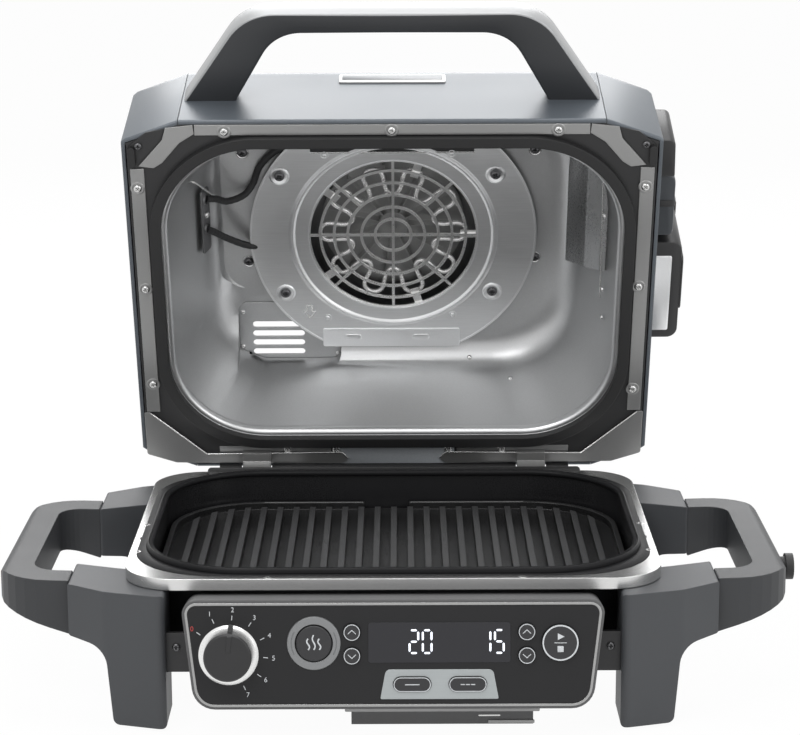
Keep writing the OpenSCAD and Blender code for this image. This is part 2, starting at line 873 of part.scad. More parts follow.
// The straight way from the vent's slots out through the lid's back
module vent_way(wide) {
    deep = 37;
    near = [vent_at.y - 13.5, pan_h - 4];
    far = near + lid_top_h / 2 * vent_sight;
    across(vent_at.x - 10 - wide / 2, vent_at.x - 10 + wide / 2)
        polygon([near, near + [deep, 0], far + [deep, 0], far]);
}

module lid_liner() {
    color("#a5a6a6") on_lid() difference() {
        union() {
            pan_form(liner_t, 0);
            scoop_form(liner_t);
            vent_form(liner_t);
            translate([0, fan_y, pan_h]) cylinder(r = drum_r + liner_t, h = drum_h + liner_t);
        }
        pan_form(0, -cut);
        scoop_form(0);
        vent_form(0);
        vent_way(54);
        translate([0, fan_y, pan_h - cut]) cylinder(r = drum_r, h = drum_h + cut);
        translate([0, fan_y, pan_h]) cylinder(r = wheel_shaft_r + 1, h = 2 * drum_h);
    }
}

module rim_plate() {
    in = lid_wall + 2 * seam_gap;
    right = [for (s = cap_steps) lid_seam + cap_w * s[0] - (s[0] == 1 ? in : 0)];
    near = [for (i = [0 : 3]) [right[i], in - lid_front * cap_steps[i][1]]];
    far = [for (i = [3 : -1 : 0]) [right[i], lid_rear * cap_steps[i][1] - in]];
    half = concat(near, far);
    color("#1b1b1c") on_lid() linear_extrude(2) difference() {
        polygon(concat(half, [for (i = [7 : -1 : 0]) [-half[i].x, half[i].y]]));
        round_rect(rim_w + 2 * (liner_t + seam_gap), rim_d + 2 * (liner_t + seam_gap), rim_r + liner_t + seam_gap);
    }
}

module gasket() {
    color("#161617") on_lid()
        wall_ring(rim_w + 2 * gasket_w, rim_d + 2 * gasket_w, rim_r + gasket_w, gasket_w, -gasket_h, 0);
}

module rim_strips() {
    wide = 9;
    bend = [
        [-40, -2.2], [-39.2, -10], [-17.5, -7.5], [-14.5, 3.1], [5.5, 26.5], [-6.5, 28.1], [-13.5, 23.5], [-28, 5.8]
    ];
    plate = [
        [15, -33.5], [15, 9], [-10, 18], [46 - rim_side, 19.5], [38 - rim_side, 16], [46 - rim_side, 8],
        [-36, 9], [10, -33.5]
    ];
    color("#cfd0d0") on_lid() translate([0, 0, -strip_t]) linear_extrude(strip_t) {
        translate([40.6 - rim_side, -rim_end - 1 - wide]) square([2 * (rim_side - 40.6), wide]);
        for (m = [0, 1])
            mirror([m, 0]) {
                translate([rim_side + 1.5, 29 - rim_end]) square([wide + 2, 2 * rim_end - 64]);
                translate([rim_side, -rim_end]) polygon(bend);
                translate([rim_side, rim_end]) polygon(rounded(plate, [1, 3, 4, 2, 3, 2, 3, 1]));
            }
    }
}

module corner_plates() {
    plate = [[-16.5, -6.7], [-1.5, -3.5], [10, 6.5], [14, 12], [14, 27.5], [9, 26], [7, 26], [-12.8, 2.8]];
    color("#151516") on_lid() translate([0, 0, -strip_t]) linear_extrude(strip_t) for (m = [0, 1])
        mirror([m, 0]) translate([rim_side, -rim_end]) polygon(plate);
}

module corner_bumpers() {
    color("#0e0e0e") on_lid() for (m = [0, 1])
        mirror([m, 0, 0]) translate([rim_side + 10.6, 18 - rim_end, -strip_t - 3]) linear_extrude(3) rotate(90) pill(18, 6);
}

module hinge_leaves() {
    leaf = 5;
    web = [
        [hinge_y - knuckle_r + 1, -rim_above], [hinge_y + knuckle_r - 1, -rim_above], [hinge_y - lid_wall - 2, -strip_t],
        [hinge_y - 17, -strip_t], [hinge_y - 17, -leaf], [hinge_y - knuckle_r - 3, -leaf]
    ];
    color("#28282a") on_lid() for (side = [-1, 1])
        across(side * hinge_x - knuckle_w / 2, side * hinge_x + knuckle_w / 2) difference() {
            union() {
                polygon(web);
                translate([hinge_y, -rim_above]) circle(knuckle_r);
            }
            translate([hinge_y, -rim_above]) circle(hinge_r + pin_gap);
        }
}

// The fan's own frame on the lid
module on_fan(z) {
    on_lid() translate([0, fan_y, z]) children();
}

module fan_guard() {
    tab_w = 104;
    flat = guard_r - 11;
    slot_w = 100;
    color("#b3b4b3") on_fan(guard_z) {
        linear_extrude(guard_t) difference() {
            union() {
                intersection() {
                    circle(guard_r);
                    translate([-guard_r, flat - 2 * guard_r]) square(2 * guard_r);
                }
                translate([-tab_w / 2, flat - 16]) square([tab_w, 16]);
            }
            circle(grille_r);
            translate([-slot_w / 2, 16 - guard_r]) square([slot_w, 5]);
        }
        rotate_extrude() polygon([[grille_r + 12, 0], [grille_r + 14, -1.4], [grille_r + 16, -1.4], [grille_r + 18, 0]]);
    }
}

module guard_grille() {
    step = 0.163;
    color("#8e8f8f") on_fan(guard_z + guard_t) linear_extrude(grille_t) {
        difference() {
            circle(grille_r + 4);
            circle(grille_r - 1);
        }
        for (i = [0 : grille_rings - 1])
            difference() {
                circle(grille_r * (0.215 + step * i) + grille_bar / 2);
                circle(grille_r * (0.215 + step * i) - grille_bar / 2);
            }
        for (turn = [0, 90])
            rotate(turn) square([2 * grille_r, grille_bar], center = true);
        for (turn = [45 : 90 : 315])
            rotate(turn) translate([grille_r * 0.54, -grille_bar / 2]) square([grille_r * 0.46, grille_bar]);
    }
}

module guard_fixings() {
    arm = 7;
    foot = 6;
    reach = loop_r + loop_wave - 4;
    color("#8c8d8e") on_fan(guard_z + guard_t) {
        for (turn = [35, 145, 215, 325])
            rotate(turn) translate([drum_r + 9, 0]) cylinder(r = 5, h = pan_h - guard_z - guard_t);
        for (i = [0 : 2 : loop_waves - 1])
            rotate(360 * i / loop_waves) {
                translate([reach, -arm / 2, grille_t]) cube([grille_r + 5 + foot - reach, arm, clip_t]);
                translate([grille_r + 5, -arm / 2, 0]) cube([foot, arm, grille_t + clip_t]);
            }
    }
}

module heating_element() {
    rings = 16 * loop_waves;
    sides = 6;
    points = [
        for (i = [0 : rings - 1], k = [0 : sides - 1])
            let (
                a = 360 * i / rings,
                r = loop_r + loop_wave * cos(loop_waves * a),
                slope = -loop_wave * loop_waves * sin(loop_waves * a),
                out = unit([r * cos(a) + slope * sin(a), r * sin(a) - slope * cos(a)]),
                w = 360 * k / sides
            )
            [r * cos(a) + tube_r * cos(w) * out.x, r * sin(a) + tube_r * cos(w) * out.y, tube_r * sin(w)]
    ];
    faces = [
        for (i = [0 : rings - 1], k = [0 : sides - 1])
            let (
                a = i * sides + k,
                b = i * sides + (k + 1) % sides,
                c = (i + 1) % rings * sides + (k + 1) % sides,
                d = (i + 1) % rings * sides + k
            )
            each [[a, c, b], [a, d, c]]
    ];
    color("#c6c4bf") on_fan(loop_z) polyhedron(points, faces);
}

module fan_motor() {
    color("#3c3d40") on_fan(drum_z + liner_t) difference() {
        union() {
            cylinder(r = motor_r, h = 34);
            translate([0, 0, 34]) cylinder(r = motor_r - 8, h = 8);
        }
        translate([0, 0, -cut]) cylinder(r = wheel_shaft_r + pin_gap, h = motor_bore + cut);
    }
}

module fan_wheel() {
    blade = 9;
    color("#a2a3a3") on_fan(wheel_z) {
        cylinder(r = 13, h = blade + 1.2);
        translate([0, 0, blade]) cylinder(r = fan_r, h = 1.2);
        for (i = [0 : fan_blades - 1])
            rotate(360 * i / fan_blades) translate([11, -0.6, 0]) cube([fan_r - 13, 1.2, blade + 0.6]);
        cylinder(r = wheel_shaft_r, h = drum_z + liner_t + motor_bore - 1 - wheel_z);
    }
}

// A shape leaned along y below a level
module leaned(share, level) {
    multmatrix([[1, 0, 0, 0], [0, 1, share, -share * level], [0, 0, 1, 0], [0, 0, 0, 1]]) children();
}

module smoke_duct() {
    sheet = 1.2;
    lean = 0.42;
    edge = pan_top_w / 2;
    back = rim_w / 2;
    foot = 38;
    section = [
        [edge - 3.5, pan_h], [edge - 3.5, 106], [edge + 9.5, 60], [edge + 20.5, foot], [back, foot], [back, pan_h]
    ];
    color("#9fa0a0") on_lid() difference() {
        intersection() {
            leaned(lean, pan_h) along(-75, 30) polygon(section);
            pan_form(-0.1, 0);
        }
        leaned(lean, pan_h) along(-80, 40) polygon(inset(section, sheet));
    }
}

module vent_cover() {
    sheet = 1.2;
    color("#b0b1b0") on_lid() intersection() {
        vent_form(-0.2);
        translate([vent_at.x, vent_at.y, pan_h - sheet]) linear_extrude(2 * sheet) difference() {
            square([vent_w, vent_d], center = true);
            for (i = [-1.5 : 1.5])
                translate([-10, i * 9.4 + 8]) pill(46, 6);
            translate([-vent_at.x, fan_y - vent_at.y]) circle(drum_r + 4);
        }
    }
}

module exhaust_frame() {
    lean = atan(48 / (lid_top_h - back_h));
    color("#1f1f21") on_lid() difference() {
        translate([vent_at.x - 10, lid_rear - 24, (lid_top_h + back_h) / 2]) rotate([lean - 90, 0, 0])
            linear_extrude(2) round_rect(72, 47, 6);
        vent_way(56);
    }
}

module lid_handle() {
    face = -lid_front + 12 * handle_z / lid_front_h;
    root = face + 14;
    foot = lid_seam - 1;
    top = face - handle_reach;
    bend = foot - 51;
    gap = [foot - 43, foot - 76];
    out = [[foot, root], [foot, face], [bend, top], [-bend, top], [-foot, face], [-foot, root]];
    hole = [
        [gap[0], root + cut], [gap[0], face], [gap[1], top + handle_t], [-gap[1], top + handle_t],
        [-gap[0], face], [-gap[0], root + cut]
    ];
    color("#3b3d40") on_lid() difference() {
        translate([0, 0, handle_z - handle_h / 2]) linear_extrude(handle_h) difference() {
            polygon(rounded(out, [1, 4, 18, 18, 4, 1]));
            polygon(rounded(hole, [1, 4, 10, 10, 4, 1]));
        }
        across(-lid_w / 2, lid_w / 2) polygon(rounded(outer_profile, outer_radii));
    }
}

module smoke_box() {
    lug = 4;
    axis = [smoke_x + 3, smoke_z + smoke_h + run_gap + flap_t / 2];
    color("#1d1d1f") on_lid() difference() {
        union() {
            translate([smoke_x, smoke_y - smoke_l / 2, smoke_z]) cube([smoke_reach, smoke_l, smoke_h]);
            for (y = [smoke_y - smoke_l / 2 - lug, smoke_y + smoke_l / 2])
                translate([smoke_x, y, smoke_z + smoke_h - 12]) cube([6, lug, 12 + 2 * flap_t]);
        }
        translate([smoke_x + smoke_wall, smoke_y - smoke_l / 2 + smoke_wall, smoke_z + smoke_wall])
            cube([smoke_reach - 2 * smoke_wall, smoke_l - 2 * smoke_wall, smoke_h]);
        translate([axis[0], smoke_y - smoke_l, axis[1]]) rotate([-90, 0, 0])
            cylinder(r = flap_pin_r + pin_gap, h = 2 * smoke_l);
    }
}

module smoke_elbow() {
    start = smoke_y - smoke_l / 2 - 5;
    color("#4c5156") on_lid() translate([smoke_x, 0, smoke_z]) linear_extrude(smoke_h - 10)
        polygon(rounded([[0, start - 58], [elbow_reach, start - 58], [elbow_reach, start], [0, start]], [1, 14, 5, 1]));
}

module smoke_guard() {
    start = smoke_y - smoke_l / 2 - 63.4;
    color("#161617") on_lid() translate([smoke_x, 0, smoke_z - 6]) linear_extrude(smoke_h - 10)
        polygon(rounded([[0, start - 34], [elbow_reach - 3, start - 34], [elbow_reach - 2, start], [0, start]], [1, 4, 1, 1]));
}

module smoke_flap() {
    lug = 4;
    long = smoke_l - 2 * run_gap;
    axis = [smoke_x + 3, smoke_z + smoke_h + run_gap + flap_t / 2];
    color("#6a6d70") on_lid() translate([axis[0], smoke_y, axis[1]]) {
        translate([0, -long / 2, -flap_t / 2]) cube([smoke_reach - 2, long, flap_t]);
        rotate([-90, 0, 0]) {
            translate([0, 0, -long / 2]) cylinder(r = flap_t / 2, h = long);
            translate([0, 0, -smoke_l / 2 - lug]) cylinder(r = flap_pin_r, h = smoke_l + 2 * lug);
        }
    }
}

base_pot();
inner_tub();
rim_flange();
control_housing();
panel_face();
panel_bezel();
display_window();
smoke_button_ring();
probe_button_plate();
front_left_leg();
front_right_leg();
rear_left_leg();
rear_right_leg();
leg_brackets();
foot_pads();
left_grip();
right_grip();
hinge_brackets();
hinge_pins();
tray_hangers();
grease_rails();
cord_inlet();
grill_plate();
grease_tray();
probe_tray();
dial_knob();
dial_ring();
smoke_button();
temp_up_button();
temp_down_button();
time_up_button();
time_down_button();
start_button();
manual_button();
preset_button();
socket_plug();
lid_shell();
left_cap();
right_cap();
lid_liner();
rim_plate();
rim_strips();
corner_plates();
corner_bumpers();
gasket();
hinge_leaves();
fan_guard();
guard_grille();
guard_fixings();
heating_element();
fan_motor();
fan_wheel();
smoke_duct();
vent_cover();
lid_handle();
smoke_box();
smoke_flap();
exhaust_frame();
smoke_elbow();
smoke_guard();
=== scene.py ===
import math

import bmesh
import bpy
from mathutils import Matrix, Vector


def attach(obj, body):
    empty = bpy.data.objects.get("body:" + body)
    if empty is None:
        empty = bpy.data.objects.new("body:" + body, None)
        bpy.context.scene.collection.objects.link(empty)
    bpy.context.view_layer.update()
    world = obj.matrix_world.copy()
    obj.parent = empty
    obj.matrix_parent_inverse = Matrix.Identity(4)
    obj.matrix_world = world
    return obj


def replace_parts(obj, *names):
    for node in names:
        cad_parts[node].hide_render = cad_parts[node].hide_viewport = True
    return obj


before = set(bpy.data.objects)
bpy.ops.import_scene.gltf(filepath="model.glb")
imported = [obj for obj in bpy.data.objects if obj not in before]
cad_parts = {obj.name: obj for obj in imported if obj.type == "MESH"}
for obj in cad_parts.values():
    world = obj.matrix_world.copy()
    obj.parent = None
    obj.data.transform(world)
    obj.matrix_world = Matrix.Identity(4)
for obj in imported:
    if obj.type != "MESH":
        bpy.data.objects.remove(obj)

bl_info = {
    "name": "Electric grill and smoker looks",
    "version": (1, 0, 0),
    "blender": (4, 5, 0),
    "location": "View3D > Sidebar > Grill",
    "description": "Finishes, fasteners, leads and panel marks for the packed grill and smoker",
    "category": "Object",
}

# Where the tub's middle, the hinge, the lid's rim and the panel's middle stand, in millimetres
TUB_Y = -79
HINGE_Y = 172
HINGE_Z = 100
RIM_Z = 120
OPEN_ANGLE = math.radians(70)
PANEL_Y = -184
PANEL_Z = 67.5
PANEL_ANGLE = math.radians(80)

# Frames of the cooker, drawn in millimetres: its stand, its open lid and its control panel
ROW = Matrix.Scale(0.001, 4) @ Matrix.Translation((0, TUB_Y, 0))
LID = (
    ROW
    @ Matrix.Translation((0, HINGE_Y, HINGE_Z))
    @ Matrix.Rotation(-OPEN_ANGLE, 4, "X")
    @ Matrix.Translation((0, -HINGE_Y, RIM_Z - HINGE_Z))
)
PANEL = ROW @ Matrix.Translation((0, PANEL_Y, PANEL_Z)) @ Matrix.Rotation(PANEL_ANGLE, 4, "X")

LID_UP = (LID.to_3x3() @ Vector((0, 0, 1))).normalized()

# Levels on the lid, above its rim
STRIP_H = -1.2
DISC_H = 104.0
CEILING_H = 112.0
VENT_H = 110.8

# The flange's top, above the table
FLANGE_Z = 113.5

# Tops of the panel's pieces, out of the panel
FACE_W = 1.6
DISPLAY_W = 2.1
RING_W = 2.6
BUTTON_W = 4.0

# How far a raised mark reaches into the face that it stands on
SINK = 0.05

DIAL = (-118.0, 0.5)
SMOKE = (-57.0, 8.5)
START = (119.7, 8.5)
ARROWS = {
    "temp_up_button": (-29.7, 16.4, 1),
    "temp_down_button": (-29.7, -0.6, -1),
    "time_up_button": (95.7, 16.4, 1),
    "time_down_button": (95.7, -0.6, -1),
}
PILLS = {"manual_button": (13.45, -21.3), "preset_button": (53.35, -21.3)}
DIAL_STOPS = (-55, -25, 5, 35, 65, 95, 125, 155)

# The sloped left wall in the liner's hollow for the leads: its foot, its run across and its rise
WALL_X, WALL_H = -179.5, 30.0
WALL_RUN, WALL_RISE = 32.0, 82.0
WALL_OUT = Vector((WALL_RISE, 0, -WALL_RUN)).normalized()

finishes = {}


# Finishes


def add(tree, kind, settings=None, **inputs):
    """One shader node, with its settings and its inputs set or linked."""
    made = tree.nodes.new(kind)
    for key, value in (settings or {}).items():
        setattr(made, key, value)
    for key, value in inputs.items():
        socket = made.inputs[int(key[1:])] if key[0] == "i" and key[1:].isdigit() else made.inputs[key]
        if isinstance(value, bpy.types.NodeSocket):
            tree.links.new(value, socket)
        else:
            socket.default_value = value
    return made


def mapped(tree, value, low, high):
    """A 0 to 1 value spread from low to high."""
    return add(tree, "ShaderNodeMapRange", i0=value, i3=low, i4=high).outputs[0]


def mixed(tree, share, first, second):
    """Two colours mixed by a share."""
    made = add(tree, "ShaderNodeMix", {"data_type": "RGBA"}, i0=share)
    for index, value in ((6, first), (7, second)):
        if isinstance(value, bpy.types.NodeSocket):
            tree.links.new(value, made.inputs[index])
        else:
            made.inputs[index].default_value = (*value[:3], 1)
    return made.outputs[2]


def shade(colour, factor):
    """A colour made darker or lighter."""
    return tuple(min(1.0, channel * factor) for channel in colour)


def finish(
    name,
    colour,
    metal=0.0,
    rough=0.45,
    rough_spread=0.06,
    drift=0.12,
    drift_scale=9.0,
    grain=0.12,
    grain_scale=1500.0,
    stretch=(1.0, 1.0, 1.0),
    edge=0.0005,
    edge_wear_and_highlight=None,
    crevice_shade=0.0,
    centre=None,
    band=None,
    sockets=None,
):
    """A finish with drifting colour, uneven gloss, fine grain, rounded edges, edge wear with a painted edge
    highlight, and painted shade in corners.

    stretch draws the grain out into brushing, and centre turns the brushing into rings round a point.
    band fades to another colour along a direction, between two distances.
    """
    material = bpy.data.materials.new(name)
    material.use_nodes = True
    tree = material.node_tree
    surface = tree.nodes["Principled BSDF"]
    place = add(tree, "ShaderNodeTexCoord").outputs["Object"]
    if centre is None:
        lay = add(tree, "ShaderNodeMapping", Vector=place, Scale=stretch).outputs[0]
    else:
        reach = add(tree, "ShaderNodeVectorMath", {"operation": "DISTANCE"}, i0=place, i1=tuple(centre))
        lay = add(tree, "ShaderNodeCombineXYZ", X=reach.outputs["Value"]).outputs[0]
    cloud = add(tree, "ShaderNodeTexNoise", Vector=place, Scale=drift_scale, Detail=5.0).outputs[0]
    fine = add(tree, "ShaderNodeTexNoise", Vector=lay, Scale=grain_scale, Detail=3.0).outputs[0]
    spread = add(tree, "ShaderNodeMath", {"operation": "ADD"}, i0=cloud, i1=fine)
    share = add(tree, "ShaderNodeMapRange", i0=spread.outputs[0], i1=0.6, i2=1.4).outputs[0]
    tone = mixed(tree, share, shade(colour, 1 - drift), shade(colour, 1 + drift))
    rounded = add(tree, "ShaderNodeBevel", {"samples": 4}, Radius=edge).outputs[0]
    # Recoloured edges found by the rounded normal: partly edge wear, partly a painted highlight along edges
    # and ridges.
    if edge_wear_and_highlight:
        flat = add(tree, "ShaderNodeNewGeometry").outputs["Normal"]
        turn = add(tree, "ShaderNodeVectorMath", {"operation": "DOT_PRODUCT"}, i0=rounded, i1=flat)
        worn = add(tree, "ShaderNodeMapRange", i0=turn.outputs["Value"], i1=0.995, i2=0.9, i3=0.0, i4=0.75)
        broken = add(tree, "ShaderNodeMath", {"operation": "MULTIPLY"}, i0=worn.outputs[0], i1=fine)
        tone = mixed(tree, broken.outputs[0], tone, edge_wear_and_highlight)
    # Painted shade: the colour darkens where ambient occlusion finds other surfaces close by, in corners,
    # creases and recesses.
    if crevice_shade:
        open_sky = add(tree, "ShaderNodeAmbientOcclusion", {"samples": 4}, Distance=0.03).outputs["AO"]
        shaded = add(tree, "ShaderNodeMapRange", i0=open_sky, i1=0.25, i2=0.9, i3=crevice_shade, i4=0.0)
        tone = mixed(tree, shaded.outputs[0], tone, shade(colour, 0.35))
    if band:
        way, low, high, most, far_colour = band
        along = add(tree, "ShaderNodeVectorMath", {"operation": "DOT_PRODUCT"}, i0=place, i1=tuple(way))
        fade = add(tree, "ShaderNodeMapRange", i0=along.outputs["Value"], i1=low, i2=high, i3=0.0, i4=most)
        tone = mixed(tree, fade.outputs[0], tone, far_colour)
    bump = add(tree, "ShaderNodeBump", Strength=grain, Distance=0.0002, Height=fine, Normal=rounded)
    gloss = mapped(tree, share, rough - rough_spread, rough + rough_spread)
    tree.links.new(tone, surface.inputs["Base Color"])
    tree.links.new(gloss, surface.inputs["Roughness"])
    tree.links.new(bump.outputs[0], surface.inputs["Normal"])
    surface.inputs["Metallic"].default_value = metal
    for key, value in (sockets or {}).items():
        surface.inputs[key].default_value = value
    finishes[name] = material


# Places


def lid_level(height):
    """How far along the lid's own upward direction a height above its rim lies."""
    return (LID @ Vector((0, 0, height))).dot(LID_UP)


def facing(frame_of, point, normal):
    """A place on a surface, with its z axis along the surface's outward direction."""
    turn = Vector(normal).to_track_quat("Z", "Y").to_matrix().to_4x4()
    return frame_of @ Matrix.Translation(point) @ turn


def on_lid(x, y, height):
    """A place on a face that looks out of the open lid."""
    return facing(LID, (x, y, height), (0, 0, -1))


def on_wall(y, height):
    """A point of the liner's left wall in the hollow for the leads."""
    return Vector((WALL_X + WALL_RUN * (height - WALL_H) / WALL_RISE, y, height))


def under(height):
    """A face of the lid that looks out of it, with x kept and y turned over."""
    return LID @ Matrix.Translation((0, 0, height)) @ Matrix.Rotation(math.pi, 4, "X")


def upright(point):
    """A face of the stand that looks to the front, drawn in x and height."""
    return ROW @ Matrix.Translation(point) @ Matrix.Rotation(math.pi / 2, 4, "X")


# Outlines and paths


def round_spot(radius, step, steps):
    """A point on a circle, counted in steps round it."""
    angle = math.tau * step / steps
    return radius * math.cos(angle), radius * math.sin(angle)


def arc(centre, radius, start, end, steps):
    """Points on an arc, with angles clockwise from straight up."""
    angles = [math.radians(start + (end - start) * k / steps) for k in range(steps + 1)]
    return [(centre[0] + radius * math.sin(a), centre[1] + radius * math.cos(a)) for a in angles]


def ring_points(centre, radius, steps=56):
    """Points round a circle."""
    return arc(centre, radius, 0, 360, steps)[:-1]


def rounded_box(centre, half, radius, steps=6):
    """Points round a rectangle with rounded corners."""
    points = []
    for quarter, (sx, sy) in enumerate(((1, 1), (1, -1), (-1, -1), (-1, 1))):
        spot = (centre[0] + sx * (half[0] - radius), centre[1] + sy * (half[1] - radius))
        points += arc(spot, radius, quarter * 90, quarter * 90 + 90, steps)
    return points


def smooth_path(points, steps):
    """A smooth path through the given points."""
    spots = [Vector(p) for p in points]
    spots = [2 * spots[0] - spots[1]] + spots + [2 * spots[-1] - spots[-2]]
    path = []
    for a, b, c, d in zip(spots, spots[1:], spots[2:], spots[3:]):
        bend = 2 * a - 5 * b + 4 * c - d
        twist = 3 * b - a - 3 * c + d
        for k in range(steps):
            t = k / steps
            path.append(0.5 * (2 * b + (c - a) * t + bend * t**2 + twist * t**3))
    path.append(spots[-2])
    return path


def bent_path(corners, radii, steps):
    """A flat path through corners, with each inner corner bent to its radius."""
    spots = [Vector(c) for c in corners]
    path = [spots[0]]
    for before, corner, after, radius in zip(spots, spots[1:], spots[2:], radii):
        come, go = (before - corner).normalized(), (after - corner).normalized()
        half = come.angle(go) / 2
        reach = radius / math.tan(half)
        centre = corner + (come + go).normalized() * radius / math.sin(half)
        start, end = corner + come * reach - centre, corner + go * reach - centre
        turn = math.atan2(start.x * end.y - start.y * end.x, start.dot(end))
        path += [centre + Matrix.Rotation(turn * k / steps, 2) @ start for k in range(steps + 1)]
    return path + [spots[-1]]


def evened(path, count):
    """The same path with evenly spaced points."""
    marks = [0.0]
    for a, b in zip(path, path[1:]):
        marks.append(marks[-1] + (b - a).length)
    made = []
    for k in range(count + 1):
        at = marks[-1] * k / count
        place = max(i for i, mark in enumerate(marks[:-1]) if mark <= at + 1e-9)
        share = (at - marks[place]) / max(marks[place + 1] - marks[place], 1e-9)
        made.append(path[place].lerp(path[place + 1], share))
    return made


# Mesh making


def piece(name, mesh_parts, finish_name, body, slot, sharp=38.0):
    """Turns mesh parts, already in metres, into one piece that rides on a body."""
    bmesh.ops.recalc_face_normals(mesh_parts, faces=mesh_parts.faces)
    mesh = bpy.data.meshes.new(name)
    mesh_parts.to_mesh(mesh)
    mesh_parts.free()
    mesh.shade_smooth()
    mesh.set_sharp_from_angle(angle=math.radians(sharp))
    mesh.materials.append(finishes[finish_name])
    made = bpy.data.objects.new(name, mesh)
    bpy.context.scene.collection.objects.link(made)
    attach(made, body)
    return made


def row(parts, points, at):
    """Vertices at points of a frame."""
    return [parts.verts.new(at @ Vector(point)) for point in points]


def skin(parts, rings):
    """Faces between rings of points; a ring of one point closes to it."""
    for low, high in zip(rings, rings[1:]):
        count = max(len(low), len(high))
        for index in range(count):
            after = (index + 1) % count
            if len(low) == 1:
                parts.faces.new((low[0], high[index], high[after]))
            elif len(high) == 1:
                parts.faces.new((low[index], high[0], low[after]))
            else:
                parts.faces.new((low[index], high[index], high[after], low[after]))


def solid(parts, rings):
    """A solid through its rings, with both ends capped."""
    skin(parts, rings)
    parts.faces.new(rings[0])
    parts.faces.new(rings[-1])


def turned(parts, profile, at, sides=28):
    """A shape turned on a lathe from (radius, height) points."""
    rings = []
    for radius, height in profile:
        count = sides if radius > 0 else 1
        rings.append(row(parts, [(*round_spot(radius, k, sides), height) for k in range(count)], at))
    skin(parts, rings)


def pan_screw(parts, at, radius, height):
    """A pan head with a cross recess, standing on the surface at the given place."""
    profile = ((1.0, -0.3), (1.0, 0.4), (0.93, 0.72), (0.76, 0.93), (0.6, 1.0), (0.42, 1.0), (0.24, 0.9))
    recess, floor = 0.62, 0.25
    sides = 32
    arm = sides // 4
    rings = []
    for share, level in profile:
        ring = []
        for k in range(sides):
            near = min(k % arm, arm - k % arm)
            sunk = recess if share < 0.6 and near <= (1 if share > 0.3 else 2) else 0.0
            ring.append((*round_spot(radius * share, k, sides), height * (level - sunk)))
        rings.append(row(parts, ring, at))
    rings.append(row(parts, [(0, 0, height * floor)], at))
    skin(parts, rings)


def dimple(parts, at, inner, outer, lift):
    """A pressed ring round a screw: a rolled lip that falls to the screw's seat."""
    wide = outer - inner
    lip = ((0.12, 0.55), (0.35, 1.0), (0.62, 0.72))
    profile = [(outer - share * wide, level * lift) for share, level in lip]
    turned(parts, [(outer, -SINK), *profile, (inner, 0.12 * lift), (inner, -SINK)], at, 40)


def rivet(parts, at, radius, height):
    """A domed rivet with a small skirt."""
    dome = ((1.15, 0.12), (1.0, 0.24), (0.92, 0.58), (0.66, 0.86), (0.3, 1.0), (0, 1.0))
    profile = [(radius * share, height * level) for share, level in dome]
    turned(parts, [(radius * 1.18, -0.1), *profile], at)


def ribbon(parts, points, width, low, high, at, closed=False):
    """A raised line on a face, along points in the face, with softened top edges."""
    count = len(points)
    rows = []
    for k, point in enumerate(points):
        before = points[k - 1] if closed or k > 0 else point
        after = points[(k + 1) % count] if closed or k < count - 1 else point
        first = (Vector(point) - Vector(before)).to_2d()
        second = (Vector(after) - Vector(point)).to_2d()
        if first.length < 1e-9:
            first = second
        if second.length < 1e-9:
            second = first
        first.normalize()
        second.normalize()
        along = (first + second).normalized()
        across = Vector((-along.y, along.x))
        reach = width / 2 / max(0.35, across.dot(Vector((-first.y, first.x))))
        soft = min(0.25 * (high - low), 0.2 * width)
        section = ((-reach, low), (-reach, high - soft), (-reach + soft, high))
        section += ((reach - soft, high), (reach, high - soft), (reach, low))
        spots = [(point[0] + across.x * s, point[1] + across.y * s, z) for s, z in section]
        rows.append(row(parts, spots, at))
    if closed:
        skin(parts, rows + rows[:1])
    else:
        solid(parts, rows)


def inset_rings(parts, outline, levels, at):
    """Rings of an outline, each drawn in towards its middle and set at its level."""
    middle = Vector((sum(p[0] for p in outline), sum(p[1] for p in outline))) / len(outline)
    rings = []
    for inset, z in levels:
        ring = []
        for point in outline:
            away = Vector(point) - middle
            spot = middle + away * (1 - inset / max(away.length, inset + 1e-6))
            ring.append((*spot, z))
        rings.append(row(parts, ring, at))
    return rings


def rolled_ring(parts, sections, steps, at):
    """A ring through rounded rectangles, each with its half sizes, corner radius and level."""
    rings = []
    for half, radius, level in sections:
        rings.append(row(parts, [(*spot, level) for spot in rounded_box((0, 0), half, radius, steps)], at))
    skin(parts, rings + rings[:1])


def drawn_in(half, radius, profile):
    """Sections of a rolled ring, from one rounded rectangle and (inset, level) points."""
    return [((half[0] - inset, half[1] - inset), radius - inset, level) for inset, level in profile]


def pad(parts, outline, low, high, soft, at):
    """A flat pad on an outline, with a softened top edge."""
    levels = ((0, low), (0, high - soft), (0.35 * soft, high - 0.3 * soft), (soft, high))
    solid(parts, inset_rings(parts, outline, levels, at))


def plates(name, pads, at, *looks):
    """A piece of flat pads, each with its middle, half sizes, corner radius and (low, high, soft)."""
    parts = bmesh.new()
    for middle, half, radius, rise in pads:
        pad(parts, rounded_box(middle, half, radius), *rise, at)
    piece(name, parts, *looks)


def pipe(parts, path, radius, at, sides, swell=None):
    """A round tube along a path, with capped ends; swell varies its radius along it."""
    side = None
    rings = []
    for k, point in enumerate(path):
        along = (path[min(k + 1, len(path) - 1)] - path[max(k - 1, 0)]).normalized()
        side = (side or along.orthogonal()).normalized()
        side = (side - along * side.dot(along)).normalized()
        over = along.cross(side)
        reach = radius * (swell(k) if swell else 1.0)
        spots = [round_spot(reach, j, sides) for j in range(sides)]
        rings.append(row(parts, [point + side * a + over * b for a, b in spots], at))
    solid(parts, rings)


